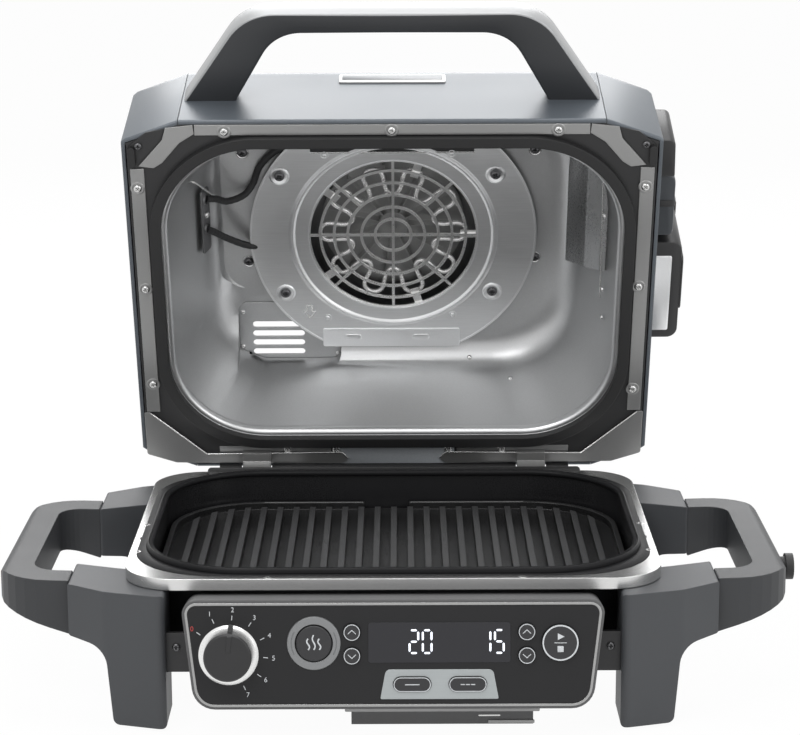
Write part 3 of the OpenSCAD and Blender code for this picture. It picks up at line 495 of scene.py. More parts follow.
def numeral(parts, sign, centre, height, low, high, at):
    """A plain numeral on a face, cut from Blender's own letter shapes."""
    curve = bpy.data.curves.new("numeral", "FONT")
    curve.body = sign
    curve.size = height * 1.4
    curve.align_x = "CENTER"
    curve.align_y = "CENTER"
    curve.extrude = (high - low) / 2
    holder = bpy.data.objects.new("numeral", curve)
    bpy.context.scene.collection.objects.link(holder)
    bpy.context.view_layer.update()
    shape = bpy.data.meshes.new_from_object(holder.evaluated_get(bpy.context.evaluated_depsgraph_get()))
    shape.transform(at @ Matrix.Translation((centre[0], centre[1], (low + high) / 2)))
    parts.from_mesh(shape)
    bpy.data.objects.remove(holder)
    bpy.data.curves.remove(curve)
    bpy.data.meshes.remove(shape)


# Settings


def tint(name, description, default):
    return bpy.props.FloatVectorProperty(
        name=name, description=description, default=default, subtype="COLOR", size=3, min=0.0, max=1.0
    )


def length(name, description, default):
    return bpy.props.FloatProperty(
        name=name, description=description, default=default, unit="LENGTH", min=0.0
    )


def angle(name, description, degrees):
    return bpy.props.FloatProperty(
        name=name, description=description, default=math.radians(degrees), unit="ROTATION"
    )


def reading(name, description, default):
    return bpy.props.IntProperty(name=name, description=description, default=default, min=0, max=99)


class GrillColours(bpy.types.PropertyGroup):
    """Colours of the cooker's finishes."""

    slate: tint("Lid paint", "Satin slate paint of the lid", (0.098, 0.112, 0.128))
    plastic: tint("Grained plastic", "Legs, grips and handle", (0.05, 0.053, 0.058))
    panel: tint("Panel", "Face of the control panel", (0.013, 0.013, 0.014))
    housing: tint("Housing", "Housing round the control panel", (0.1, 0.1, 0.102))
    enamel: tint("Enamel", "Pot, tub and trays", (0.012, 0.012, 0.013))
    casting: tint("Cast plate", "Coated grill plate", (0.016, 0.016, 0.0165))
    rubber: tint("Rubber", "Gasket, bumpers and feet", (0.012, 0.012, 0.0125))
    liner: tint("Liner", "Satin liner of the lid", (0.6, 0.605, 0.61))
    steel: tint("Steel", "Bright strips, flange and trim", (0.62, 0.62, 0.615))
    ink: tint("Ink", "Printed marks on the panel", (0.62, 0.64, 0.66))
    lit: tint("Display", "Lit segments of the display", (0.86, 0.9, 1.0))


class GrillFixings(bpy.types.PropertyGroup):
    """Sizes of the screws and rivets."""

    head: length("Screw head", "Radius of a pan head", 0.0033)
    seat: length("Dimple", "Outer radius of the pressed ring round a screw", 0.0058)
    disc_head: length("Disc screw", "Radius of the fan guard's screw heads", 0.0042)
    disc_seat: length("Disc dimple", "Outer radius of the pressed ring on the fan guard", 0.0088)
    rivet: length("Rivet", "Radius of a rivet's dome", 0.0021)


class GrillMarks(bpy.types.PropertyGroup):
    """Sizes of the panel's printed marks and of the lit digits."""

    line: length("Line", "Width of a printed line", 0.00062)
    lift: length("Lift", "Height of the print above the face", 0.00012)
    numeral: length("Numeral", "Height of a numeral round the dial", 0.0036)
    digit: length("Digit", "Height of a lit digit", 0.0164)
    left_reading: reading("Left reading", "Number shown at the left of the display", 20)
    right_reading: reading("Right reading", "Number shown at the right of the display", 15)


class GrillLeads(bpy.types.PropertyGroup):
    """Sizes of the sleeved leads and the sensor rod in the lid."""

    sleeve: length("Sleeve", "Radius of a lead's sleeve", 0.003)
    rod: length("Rod", "Radius of the sensor rod", 0.0011)


class GrillStage(bpy.types.PropertyGroup):
    """Camera and light."""

    lens: bpy.props.FloatProperty(
        name="Lens", description="Focal length of the camera on a 36 mm sensor", default=108.18, unit="CAMERA"
    )
    eye: bpy.props.FloatVectorProperty(
        name="Camera", description="Where the camera stands", default=(0.00551, -1.9011, 0.646),
        size=3, subtype="TRANSLATION", unit="LENGTH",
    )
    pitch: angle("Pitch", "How far the camera looks down", 12.647)
    roll: angle("Roll", "Turn of the camera about its view", -0.211)
    ambient: bpy.props.FloatProperty(
        name="Ambient", description="Soft light from all round", default=0.5, min=0.0
    )


SETTINGS = {
    "grill_colours": GrillColours,
    "grill_fixings": GrillFixings,
    "grill_marks": GrillMarks,
    "grill_leads": GrillLeads,
    "grill_stage": GrillStage,
}


def in_mm(value):
    """A setting's metres in millimetres."""
    return value * 1000.0


# Operators


class GRILL_OT_stage(bpy.types.Operator):
    """Lay the pale floor, the soft light and the camera"""

    bl_idname = "grill.stage"
    bl_label = "Stage"

    # Each lamp's name, place, width and height, and power
    lamps = (
        ("key_lamp", (-0.7, -1.3, 1.9), (1.3, 1.0), 20.0),
        ("top_lamp", (0.1, 0.2, 1.9), (1.8, 1.2), 16.0),
        ("fill_lamp", (1.5, -1.1, 0.9), (0.9, 0.9), 7.0),
        ("back_lamp", (0.0, 2.0, 1.5), (1.6, 1.5), 26.0),
    )
    lamp_aim = Vector((0, 0, 0.25))
    sensor = 36.0
    floor_profile = ((30000.0, 0.0), (4000.0, 0.0), (0.0, 0.0))
    floor_glow = 0.965

    def execute(self, context):
        scene = context.scene
        look = scene.grill_stage
        scene.view_settings.view_transform = "Standard"
        self.lay_floor(scene)
        self.light_round(scene, look.ambient)
        for name, spot, size, power in self.lamps:
            self.hang_lamp(scene, name, Vector(spot), size, power)
        lens = bpy.data.cameras.new("front_camera")
        lens.sensor_width = self.sensor
        lens.lens = look.lens
        camera = bpy.data.objects.new("front_camera", lens)
        tilt = Matrix.Rotation(math.pi / 2 - look.pitch, 4, "X") @ Matrix.Rotation(look.roll, 4, "Z")
        camera.matrix_world = Matrix.Translation(look.eye) @ tilt
        scene.collection.objects.link(camera)
        scene.camera = camera
        return {"FINISHED"}

    def lay_floor(self, scene):
        parts = bmesh.new()
        turned(parts, self.floor_profile, Matrix.Scale(0.001, 4), 64)
        mesh = bpy.data.meshes.new("floor")
        bmesh.ops.recalc_face_normals(parts, faces=parts.faces)
        parts.to_mesh(mesh)
        parts.free()
        floor = bpy.data.objects.new("floor", mesh)
        material = bpy.data.materials.new("pale_floor")
        material.use_nodes = True
        tree = material.node_tree
        tree.nodes.remove(tree.nodes["Principled BSDF"])
        matt = add(tree, "ShaderNodeBsdfDiffuse", Color=(0.9, 0.9, 0.9, 1)).outputs[0]
        white = add(tree, "ShaderNodeEmission", Color=(1, 1, 1, 1), Strength=1.0).outputs[0]
        seen = self.seen(tree)
        share = add(tree, "ShaderNodeMath", {"operation": "MULTIPLY"}, i0=seen, i1=self.floor_glow).outputs[0]
        both = add(tree, "ShaderNodeMixShader", i0=share, i1=matt, i2=white).outputs[0]
        tree.links.new(both, tree.nodes["Material Output"].inputs["Surface"])
        mesh.materials.append(material)
        scene.collection.objects.link(floor)

    def seen(self, tree):
        """1 for rays from the camera, off gloss or through glass."""
        path = add(tree, "ShaderNodeLightPath").outputs
        most = {"operation": "MAXIMUM"}
        gloss = add(tree, "ShaderNodeMath", most, i0=path["Is Glossy Ray"], i1=path["Is Transmission Ray"])
        return add(tree, "ShaderNodeMath", most, i0=path["Is Camera Ray"], i1=gloss.outputs[0]).outputs[0]

    def light_round(self, scene, ambient):
        world = bpy.data.worlds.new("white_room")
        world.use_nodes = True
        tree = world.node_tree
        strength = mapped(tree, self.seen(tree), ambient, 1.0)
        backdrop = tree.nodes["Background"]
        backdrop.inputs["Color"].default_value = (1, 1, 1, 1)
        tree.links.new(strength, backdrop.inputs["Strength"])
        scene.world = world

    def hang_lamp(self, scene, name, spot, size, power):
        lamp = bpy.data.lights.new(name, "AREA")
        lamp.shape = "RECTANGLE"
        lamp.size, lamp.size_y = size
        lamp.energy = power
        hung = bpy.data.objects.new(name, lamp)
        aim = (self.lamp_aim - spot).to_track_quat("-Z", "Y").to_matrix().to_4x4()
        hung.matrix_world = Matrix.Translation(spot) @ aim
        hung.visible_camera = False
        scene.collection.objects.link(hung)


class GRILL_OT_finishes(bpy.types.Operator):
    """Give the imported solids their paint, plastic, enamel and metal"""

    bl_idname = "grill.finishes"
    bl_label = "Finishes"

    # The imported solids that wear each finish
    worn = {
        "slate_paint": ("lid_shell", "left_cap", "right_cap"),
        "grained_plastic": (
            "front_left_leg", "front_right_leg", "rear_left_leg", "rear_right_leg",
            "exhaust_frame", "cord_inlet",
        ),
        "smoke_plastic": ("smoke_flap",),
        "grip_plastic": ("left_grip", "right_grip"),
        "knob_black": ("dial_knob",),
        "panel_black": ("panel_face",),
        "housing_grey": ("control_housing", "probe_tray"),
        "display_glass": ("display_window",),
        "button_black": ("smoke_button", "start_button", *ARROWS, *PILLS),
        "black_enamel": ("base_pot", "inner_tub", "grease_tray"),
        "cast_coating": ("grill_plate",),
        "seal_rubber": ("gasket", "foot_pads", "corner_bumpers", "socket_plug"),
        "satin_liner": ("lid_liner", "vent_cover"),
        "duct_steel": ("smoke_duct",),
        "disc_steel": ("fan_guard",),
        "grille_wire": ("guard_grille", "guard_fixings"),
        "shaded_fan_metal": ("fan_wheel",),
        "brushed_flange": ("rim_flange",),
        "bright_strip": ("rim_strips", "hinge_pins", "hinge_leaves"),
        "zinc_bracket": ("tray_hangers", "grease_rails", "fan_motor"),
        "blackened_steel": ("rim_plate", "corner_plates", "hinge_brackets", "leg_brackets"),
        "chrome_line": ("panel_bezel",),
        "dial_chrome": ("dial_ring",),
        "ring_silver": ("smoke_button_ring",),
        "probe_silver": ("probe_button_plate",),
    }
    softened = ("left_cap", "right_cap", "lid_liner")
    fold_angle = math.radians(34)

    def execute(self, context):
        hue = context.scene.grill_colours
        self.mix_plain(hue)
        self.mix_marks(hue)
        self.mix_sheet(hue)
        self.mix_trim(hue)
        for name, nodes in self.worn.items():
            for node in nodes:
                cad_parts[node].material_slots[0].material = finishes[name]
        soften = self.soften()
        for node in self.softened:
            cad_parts[node].modifiers.new("soften", "NODES").node_group = soften
        return {"FINISHED"}

    def mix_plain(self, hue):
        """Paint, plastic, enamel and rubber."""
        painted = {"grain": 0.05, "grain_scale": 900}
        lid_coat = {"metal": 0.2, "edge": 0.0012, **painted}
        textured = {"rough": 0.5, "grain": 0.35, "grain_scale": 1900, "edge": 0.001}
        smooth = {"rough": 0.4, "grain_scale": 1900, "edge": 0.0012}
        enamelled = {"grain": 0.08, "grain_scale": 1100, "edge": 0.0012}
        finish("slate_paint", hue.slate, rough=0.36, edge_wear_and_highlight=(0.2, 0.21, 0.22), **lid_coat)
        finish("elbow_paint", shade(hue.slate, 0.42), rough=0.34, **lid_coat)
        # Painted light: the lid's slate paint made about four times lighter for the rear fold, which faces
        # down and gets little light.
        finish("lit_slate_paint", (0.42, 0.445, 0.47), rough=0.42, **painted)
        finish("grained_plastic", hue.plastic, edge_wear_and_highlight=(0.1, 0.1, 0.105), **textured)
        finish("grip_plastic", shade(hue.plastic, 0.58), edge_wear_and_highlight=(0.09, 0.09, 0.095), **textured)
        finish("smoke_plastic", (0.018, 0.018, 0.019), grain=0.2, **smooth)
        # Painted shade: a darker copy of the grained plastic for the handle, whose front lies in shade.
        finish("shaded_handle_plastic", shade(hue.plastic, 0.62), grain=0.25, **smooth)
        finish("cover_silver", (0.36, 0.365, 0.37), metal=0.45, rough=0.38, drift=0.04, grain=0.05,
               edge=0.0006)
        finish("plate_edge", (0.2, 0.2, 0.2), rough=0.34, grain=0.2, grain_scale=1300)
        finish("housing_grey", hue.housing, rough=0.42, grain_scale=2400, edge=0.0014, edge_wear_and_highlight=(0.2, 0.2, 0.2))
        finish("black_enamel", hue.enamel, rough=0.3, edge_wear_and_highlight=(0.06, 0.06, 0.062),
               sockets={"Specular IOR Level": 0.35}, **enamelled)
        finish("lip_enamel", hue.enamel, rough=0.4, sockets={"Specular IOR Level": 0.12}, **enamelled)
        # Painted light on the grill plate: the band lightens the ridge tops, from 91.4 to 92.9 mm up, as a
        # painted highlight, and the crevice shade darkens the grooves between them.
        finish("cast_coating", hue.casting, rough=0.3, grain=0.3, grain_scale=1300, edge=0.0011,
               edge_wear_and_highlight=(0.12, 0.12, 0.12), crevice_shade=0.8,
               band=((0, 0, 1), 0.0914, 0.0929, 0.85, (0.05, 0.05, 0.0515)))
        finish("seal_rubber", hue.rubber, rough=0.52, grain=0.15, grain_scale=1200, edge=0.0012)
        finish("lead_sleeve", (0.012, 0.012, 0.013), rough=0.55, grain=0.6, grain_scale=1800)

    def mix_marks(self, hue):
        """The panel's face, knob, buttons, prints and lit digits."""
        printed = {"rough": 0.5, "grain": 0.03, "drift": 0.05}
        finish("panel_black", hue.panel, rough=0.42, grain=0.05, grain_scale=3000, drift=0.05,
               sockets={"Specular IOR Level": 0.3})
        finish("knob_black", (0.016, 0.016, 0.017), rough=0.36, grain=0.08, edge=0.0008)
        finish("display_glass", (0.012, 0.012, 0.016), rough=0.16, grain=0.01, drift=0.04, edge=0.0003)
        finish("button_black", (0.022, 0.022, 0.024), rough=0.42, grain=0.04, grain_scale=2600, edge=0.0004)
        finish("panel_ink", hue.ink, **printed)
        finish("off_ink", (0.45, 0.05, 0.045), **printed)
        finish("ring_ink", (0.16, 0.165, 0.17), **printed)
        finish("lit_segment", hue.lit, rough=0.3, drift=0.03, grain=0.02,
               sockets={"Emission Color": (*hue.lit, 1), "Emission Strength": 0.9})

    def mix_sheet(self, hue):
        """The sheet metal of the liner, the fan guard and the rim."""
        sheet = {"metal": 1.0, "grain_scale": 700}
        steel = tuple(hue.steel)
        # Painted shade: the band darkens the liner inside the fan's drum, from 112.5 to 121 mm above the rim,
        # and the crevice shade darkens its corners.
        finish("satin_liner", hue.liner, rough=0.4, drift=0.06, grain=0.05, edge=0.0015, crevice_shade=0.3,
               band=(LID_UP, lid_level(112.5), lid_level(121.0), 0.75, shade(hue.liner, 0.3)), **sheet)
        finish("duct_steel", shade(hue.liner, 0.8), rough=0.3, drift=0.08, grain=0.05, edge=0.0012, crevice_shade=0.4,
               **sheet)
        # A slightly lighter copy of the liner steel for its rolled edge: painted highlight.
        finish("roll_steel", shade(hue.liner, 1.1), rough=0.4, drift=0.05, grain=0.04, **sheet)
        finish("disc_steel", shade(hue.liner, 1.3), metal=1.0, rough=0.37, drift=0.06, grain=0.06,
               grain_scale=40, stretch=(1.0, 26.0, 26.0), edge=0.0008, edge_wear_and_highlight=(0.7, 0.7, 0.7))
        # Painted highlight: a copy of the liner steel half as bright again, lighter than the disc that the tab
        # and beads are pressed from; the smoke box's plate wears it too.
        finish("tab_steel", shade(hue.liner, 1.5), metal=1.0, rough=0.34, drift=0.05, grain=0.05, edge=0.0006)
        finish("grille_wire", shade(steel, 1.4), metal=1.0, rough=0.3, grain=0.04, edge=0.0007)
        # The fan wheel's steel is a darker copy of the bright steel: painted shade for the fan deep inside its
        # drum.
        finish("shaded_fan_metal", shade(steel, 0.7), metal=1.0, rough=0.34, grain=0.08, edge=0.0006, crevice_shade=0.3)
        finish("element_tube", (0.9, 0.895, 0.89), metal=0.55, rough=0.26, drift=0.1, drift_scale=45)
        finish("brushed_flange", shade(steel, 1.12), metal=1.0, rough=0.26, rough_spread=0.015, drift=0.02,
               grain=0.03, grain_scale=30, stretch=(1.0, 40.0, 40.0), edge=0.0009)
        finish("bright_strip", shade(steel, 0.5), metal=0.62, rough=0.3, rough_spread=0.012, drift=0.02,
               grain=0.02, grain_scale=260, stretch=(1.0, 3.0, 3.0), edge=0.0006, edge_wear_and_highlight=(0.8, 0.8, 0.8))
        finish("zinc_bracket", (0.2, 0.2, 0.205), metal=0.9, drift=0.2, drift_scale=60, rough=0.42, grain=0.1)
        finish("blackened_steel", (0.035, 0.035, 0.036), metal=0.4, rough=0.42, grain=0.1,
               edge_wear_and_highlight=(0.12, 0.12, 0.12))
        finish("rear_steel", (0.33, 0.33, 0.33), metal=0.5, rough=0.34, drift=0.06, grain=0.04)

    def mix_trim(self, hue):
        """Chrome, silver, the badge, beads and screws."""
        steel = tuple(hue.steel)
        ringed = {"grain": 0.08, "grain_scale": 6000}
        brushed = {"drift": 0.05, "grain": 0.06, "grain_scale": 40, "edge": 0.0006}
        brushed["stretch"] = (1.0, 40.0, 40.0)
        screw = {"drift_scale": 200, "grain": 0.06}
        finish("chrome_line", shade(steel, 0.62), metal=1.0, rough=0.2, drift=0.05, grain=0.03)
        finish("dial_chrome", shade(steel, 1.35), metal=1.0, rough=0.2, drift=0.06, edge=0.0007,
               centre=PANEL @ Vector((*DIAL, 4.0)), **ringed)
        finish("ring_silver", (0.25, 0.255, 0.26), metal=0.75, rough=0.36, drift=0.05,
               centre=PANEL @ Vector((*SMOKE, RING_W)), **ringed)
        finish("probe_silver", (0.40, 0.425, 0.43), metal=0.75, rough=0.36, **brushed)
        finish("badge_silver", shade(steel, 0.72), metal=0.7, rough=0.3, **brushed)
        finish("badge_grey", (0.13, 0.137, 0.145), metal=0.4, rough=0.36, drift=0.05, grain=0.05)
        finish("bead_steel", shade(steel, 1.35), metal=1.0, rough=0.2, drift=0.05, grain=0.03)
        finish("screw_steel", shade(steel, 1.05), metal=1.0, rough=0.24, drift=0.1, **screw)
        finish("dark_screw", (0.14, 0.14, 0.145), metal=0.9, rough=0.3, drift=0.15, **screw)

    def soften(self):
        """A modifier that smooths a faceted sheet and keeps its real folds sharp."""
        group = bpy.data.node_groups.new("soften", "GeometryNodeTree")
        group.interface.new_socket("Geometry", in_out="INPUT", socket_type="NodeSocketGeometry")
        group.interface.new_socket("Geometry", in_out="OUTPUT", socket_type="NodeSocketGeometry")
        start = group.nodes.new("NodeGroupInput").outputs[0]
        end = group.nodes.new("NodeGroupOutput").inputs[0]
        shading = "GeometryNodeSetShadeSmooth"
        joined = add(group, "GeometryNodeMergeByDistance", Geometry=start, Distance=1e-6).outputs[0]
        bare = add(group, "GeometryNodeRemoveAttribute", Geometry=joined, Name="custom_normal").outputs[0]
        smooth = add(group, shading, {"domain": "FACE"}, i0=bare, i2=True).outputs[0]
        even = add(group, shading, {"domain": "EDGE"}, i0=smooth, i2=True).outputs[0]
        bend = add(group, "GeometryNodeInputMeshEdgeAngle").outputs["Unsigned Angle"]
        fold = add(group, "FunctionNodeCompare", {"operation": "GREATER_THAN"}, i0=bend, i1=self.fold_angle)
        sharp = add(group, shading, {"domain": "EDGE"}, i0=even, i1=fold.outputs[0], i2=False)
        group.links.new(sharp.outputs[0], end)
        return group


class GRILL_OT_rim_screws(bpy.types.Operator):
    """Set the pan screws of the lid's rim strips, corner plates and drip plates in pressed dimples"""

    bl_idname = "grill.rim_screws"
    bl_label = "Rim screws"

    strip_spots = (
        (-133.5, -152.5), (-0.4, -153.3), (131.9, -153.3), (-205.0, -102.0), (-204.1, -7.7), (-203.3, 85.7),
        (203.5, -102.0), (202.5, -8.6), (202.5, 92.0),
    )
    rim_spots = ((-91.5, 153.5), (-49.8, 153.8), (46.4, 153.8), (92.5, 153.5))
    corner_spots = ((-202.3, -140.0), (202.3, -140.0))
    head_h, corner_head_h, seat_lift = 1.9, 1.8, 0.5
    snug = 0.95
    fold = (((0, -160.0), (52.0, 8.6), 1.0, (-0.1, 0.5, 0.2)),)
    skirt = tuple(
        ((x, -170.2), (half, 1.2), 0.5, (-0.1, 4.5, 0.6))
        for x, half in ((0, 105.4), (-141.0, 9.6), (141.0, 9.6))
    )
    strips = tuple(((x, -153.2), (48.0, 3.0), 0.5, (-0.1, 0.4, 0.15)) for x in (-102.0, 102.0))
    edge = ((207.0, 115.4), (161.4, 157.2), (160.0, 157.4), (46.2, 156.3), (44.0, 156.8), (39.4, 162.4))
    edge_h, edge_radius = -1.4, 0.6

    def execute(self, context):
        size = context.scene.grill_fixings
        head, seat = in_mm(size.head), in_mm(size.seat)
        heads, seats, corner = bmesh.new(), bmesh.new(), bmesh.new()
        for x, y in self.strip_spots:
            at = on_lid(x, y, STRIP_H)
            dimple(seats, at, head * self.snug, seat, self.seat_lift)
            pan_screw(heads, at @ Matrix.Rotation(x, 4, "Z"), head, self.head_h)
        for x, y in self.rim_spots:
            pan_screw(heads, on_lid(x, y, 0), head, self.head_h)
        for x, y in self.corner_spots:
            pan_screw(corner, on_lid(x, y, STRIP_H), head * self.snug, self.corner_head_h)
        piece("rim_screw_heads", heads, "screw_steel", "lid", "strip_steel")
        piece("rim_screw_seats", seats, "bright_strip", "lid", "strip_steel")
        piece("corner_screw_heads", corner, "dark_screw", "lid", "strip_steel")
        self.fold_rear()
        return {"FINISHED"}

    def fold_rear(self):
        """The painted fold, the dark skirt, the steel strips and the bright edges along the rim's rear."""
        # The fold wears the lighter copy of the slate paint: painted light.
        plates("rear_fold", self.fold, under(0), "lit_slate_paint", "lid", "lid_paint")
        # Painted shade: a dark sheet hanging from the lid's rear that fills the gap to the tub, standing in
        # for the shade in that gap.
        plates("rear_skirt", self.skirt, under(0), "blackened_steel", "lid", "bracket_steel")
        plates("rear_strips", self.strips, under(0), "rear_steel", "lid", "strip_steel")
        edges = bmesh.new()
        for side in (-1, 1):
            path = [Vector((side * x, y, self.edge_h)) for x, y in self.edge]
            pipe(edges, path, self.edge_radius, LID, 8)
        piece("rear_edges", edges, "bead_steel", "lid", "strip_steel")


class GRILL_OT_disc_fixings(bpy.types.Operator):
    """Press the fan guard's screws, rivets, arrow and embosses into its disc"""

    bl_idname = "grill.disc_fixings"
    bl_label = "Disc fixings"

    screw_spots = ((-96.7, -56.5), (87.5, -57.5), (-94.5, 59.2), (86.5, 58.2))
    rivet_spots = ((-58.2, -76.6), (49.9, -77.6), (-58.2, 84.8), (51.8, 82.2))
    head_h, seat_lift = 2.4, 1.1
    arrow_spot = (-73.9, -78.0)
    arrow = ((-2.2, 6.0), (2.2, 6.0), (2.2, 0), (5.0, 0), (0, -6.5), (-5.0, 0), (-2.2, 0))
    middle = (0, -2.0)
    # Each round bead's radius, width, foot and top, then the rim bead's radius and where the disc is cut off
    beads = ((73.2, 1.2, -SINK, 0.6), (87.5, 1.6, 1.3, 1.8))
    rim_bead, cut_y = 123.0, -114.2
    tab = (
        ((-2.0, -104.8), (60.5, 9.0), 1.5, (-0.1, 1.3, 0.5)),
        ((-36.0, -104.0), (7.5, 2.8), 2.6, (1.2, 1.9, 0.5)),
        ((24.0, -104.0), (7.5, 2.8), 2.6, (1.2, 1.9, 0.5)),
    )
    slot = (((-0.5, 89.5), (69.5, 10.0), 1.0, (-SINK, 0.25, 0.1)),)
    slot_edge = ((-70.0, 79.2), (69.0, 79.2))

    def execute(self, context):
        size = context.scene.grill_fixings
        head, seat = in_mm(size.disc_head), in_mm(size.disc_seat)
        heads, seats, mark = bmesh.new(), bmesh.new(), bmesh.new()
        for x, y in self.screw_spots:
            at = on_lid(x, y, DISC_H)
            dimple(seats, at, head, seat, self.seat_lift)
            pan_screw(heads, at @ Matrix.Rotation(x, 4, "Z"), head, self.head_h)
        for x, y in self.rivet_spots:
            at = on_lid(x, y, DISC_H)
            dimple(seats, at, 2.2, 3.8, 0.35)
            rivet(seats, at, 1.9, 1.1)
        piece("disc_screw_heads", heads, "dark_screw", "lid", "strip_steel")
        piece("disc_screw_seats", seats, "disc_steel", "lid", "liner_metal")
        face = under(DISC_H)
        points = [(self.arrow_spot[0] + x, self.arrow_spot[1] + y) for x, y in self.arrow]
        ribbon(mark, points, 1.1, -SINK, 0.5, face, closed=True)
        piece("disc_arrow", mark, "bead_steel", "lid", "liner_metal")
        self.press_beads(face)
        self.fold_tab(face)
        return {"FINISHED"}

    def press_beads(self, face):
        """Bright pressed lines round the disc and its opening, lighter than the disc itself: painted
        highlight.
        """
        parts = bmesh.new()
        for radius, width, low, high in self.beads:
            ribbon(parts, ring_points(self.middle, radius, 96), width, low, high, face, closed=True)
        outline = [p for p in ring_points(self.middle, self.rim_bead, 180) if p[1] > self.cut_y]
        start = next(k for k, p in enumerate(outline) if math.dist(p, outline[k - 1]) > 20.0)
        ribbon(parts, outline[start:] + outline[:start], 1.8, -SINK, 0.5, face)
        piece("disc_beads", parts, "tab_steel", "lid", "liner_metal")

    def fold_tab(self, face):
        """The tab folded from the disc's lower edge, and the slot at its upper edge."""
        # The tab wears the lighter steel: painted highlight.
        plates("disc_tab", self.tab, face, "tab_steel", "lid", "liner_metal")
        # Painted shade: the slot is a dark pad on the disc, not cut through it, standing in for the shade in
        # the opening.
        plates("disc_slot", self.slot, face, "blackened_steel", "lid", "liner_metal")
        edge = bmesh.new()
        ribbon(edge, self.slot_edge, 1.4, -SINK, 1.0, face)
        piece("disc_slot_edge", edge, "bead_steel", "lid", "liner_metal")


class GRILL_OT_liner_fixings(bpy.types.Operator):
    """Fix the liner with its ceiling screws, vent screws, wall rivets and rolled edge"""

    bl_idname = "grill.liner_fixings"
    bl_label = "Liner fixings"

    ceiling_spots = ((-127.9, -75.0), (-126.0, 31.5), (121.0, -77.2), (123.3, 28.0))
    vent_spots = ((-133.4, 82.8), (-134.2, 118.5), (-50.0, 125.8))
    # Each wall rivet's place and the way it looks
    wall_rivets = (
        ((67.5, 126.0, 103.0), (0, -0.7, -0.7)),
        ((103.0, 131.8, 77.7), (-0.1, -0.99, -0.12)),
        ((174.5, -88.7, 33.6), (-0.95, 0, -0.3)),
        ((175.0, -55.5, 34.3), (-0.95, 0, -0.3)),
        ((176.2, 15.9, 35.8), (-0.95, 0, -0.3)),
        ((177.0, 44.0, 36.4), (-0.95, 0, -0.3)),
    )
    roll_half, roll_radius = (188.4, 139.4), 79.4
    roll = (
        (-0.4, 0.6), (1.0, 0.3), (2.4, 0.6), (3.6, 1.5), (4.4, 2.9), (4.8, 4.6), (4.8, 6.4), (4.4, 8.2),
        (3.4, 9.6), (1.6, 10.4), (-0.4, 10.4),
    )
    wire = ((172.6, -104.0, 33.0), (173.6, -40.0, 34.4), (174.6, 24.0, 35.8))

    def execute(self, context):
        size = context.scene.grill_fixings
        head = in_mm(size.head)
        heads, rivets, edge, wire = bmesh.new(), bmesh.new(), bmesh.new(), bmesh.new()
        for x, y in self.ceiling_spots:
            at = on_lid(x, y, CEILING_H)
            dimple(rivets, at, head, head + 2.4, 0.9)
            pan_screw(heads, at @ Matrix.Rotation(y, 4, "Z"), head * 1.15, 2.6)
        for x, y in self.vent_spots:
            rivet(rivets, on_lid(x, y, VENT_H), 1.9, 1.2)
        for spot, out in self.wall_rivets:
            rivet(rivets, facing(LID, spot, out), in_mm(size.rivet), 1.4)
        piece("ceiling_screw_heads", heads, "dark_screw", "lid", "strip_steel")
        piece("liner_rivets", rivets, "screw_steel", "lid", "strip_steel")
        rolled_ring(edge, drawn_in(self.roll_half, self.roll_radius, self.roll), 20, LID)
        piece("liner_rolled_edge", edge, "roll_steel", "lid", "liner_metal", 60)
        pipe(wire, [Vector(spot) for spot in self.wire], 0.7, LID, 10)
        piece("duct_wire", wire, "bead_steel", "lid", "strip_steel")
        return {"FINISHED"}


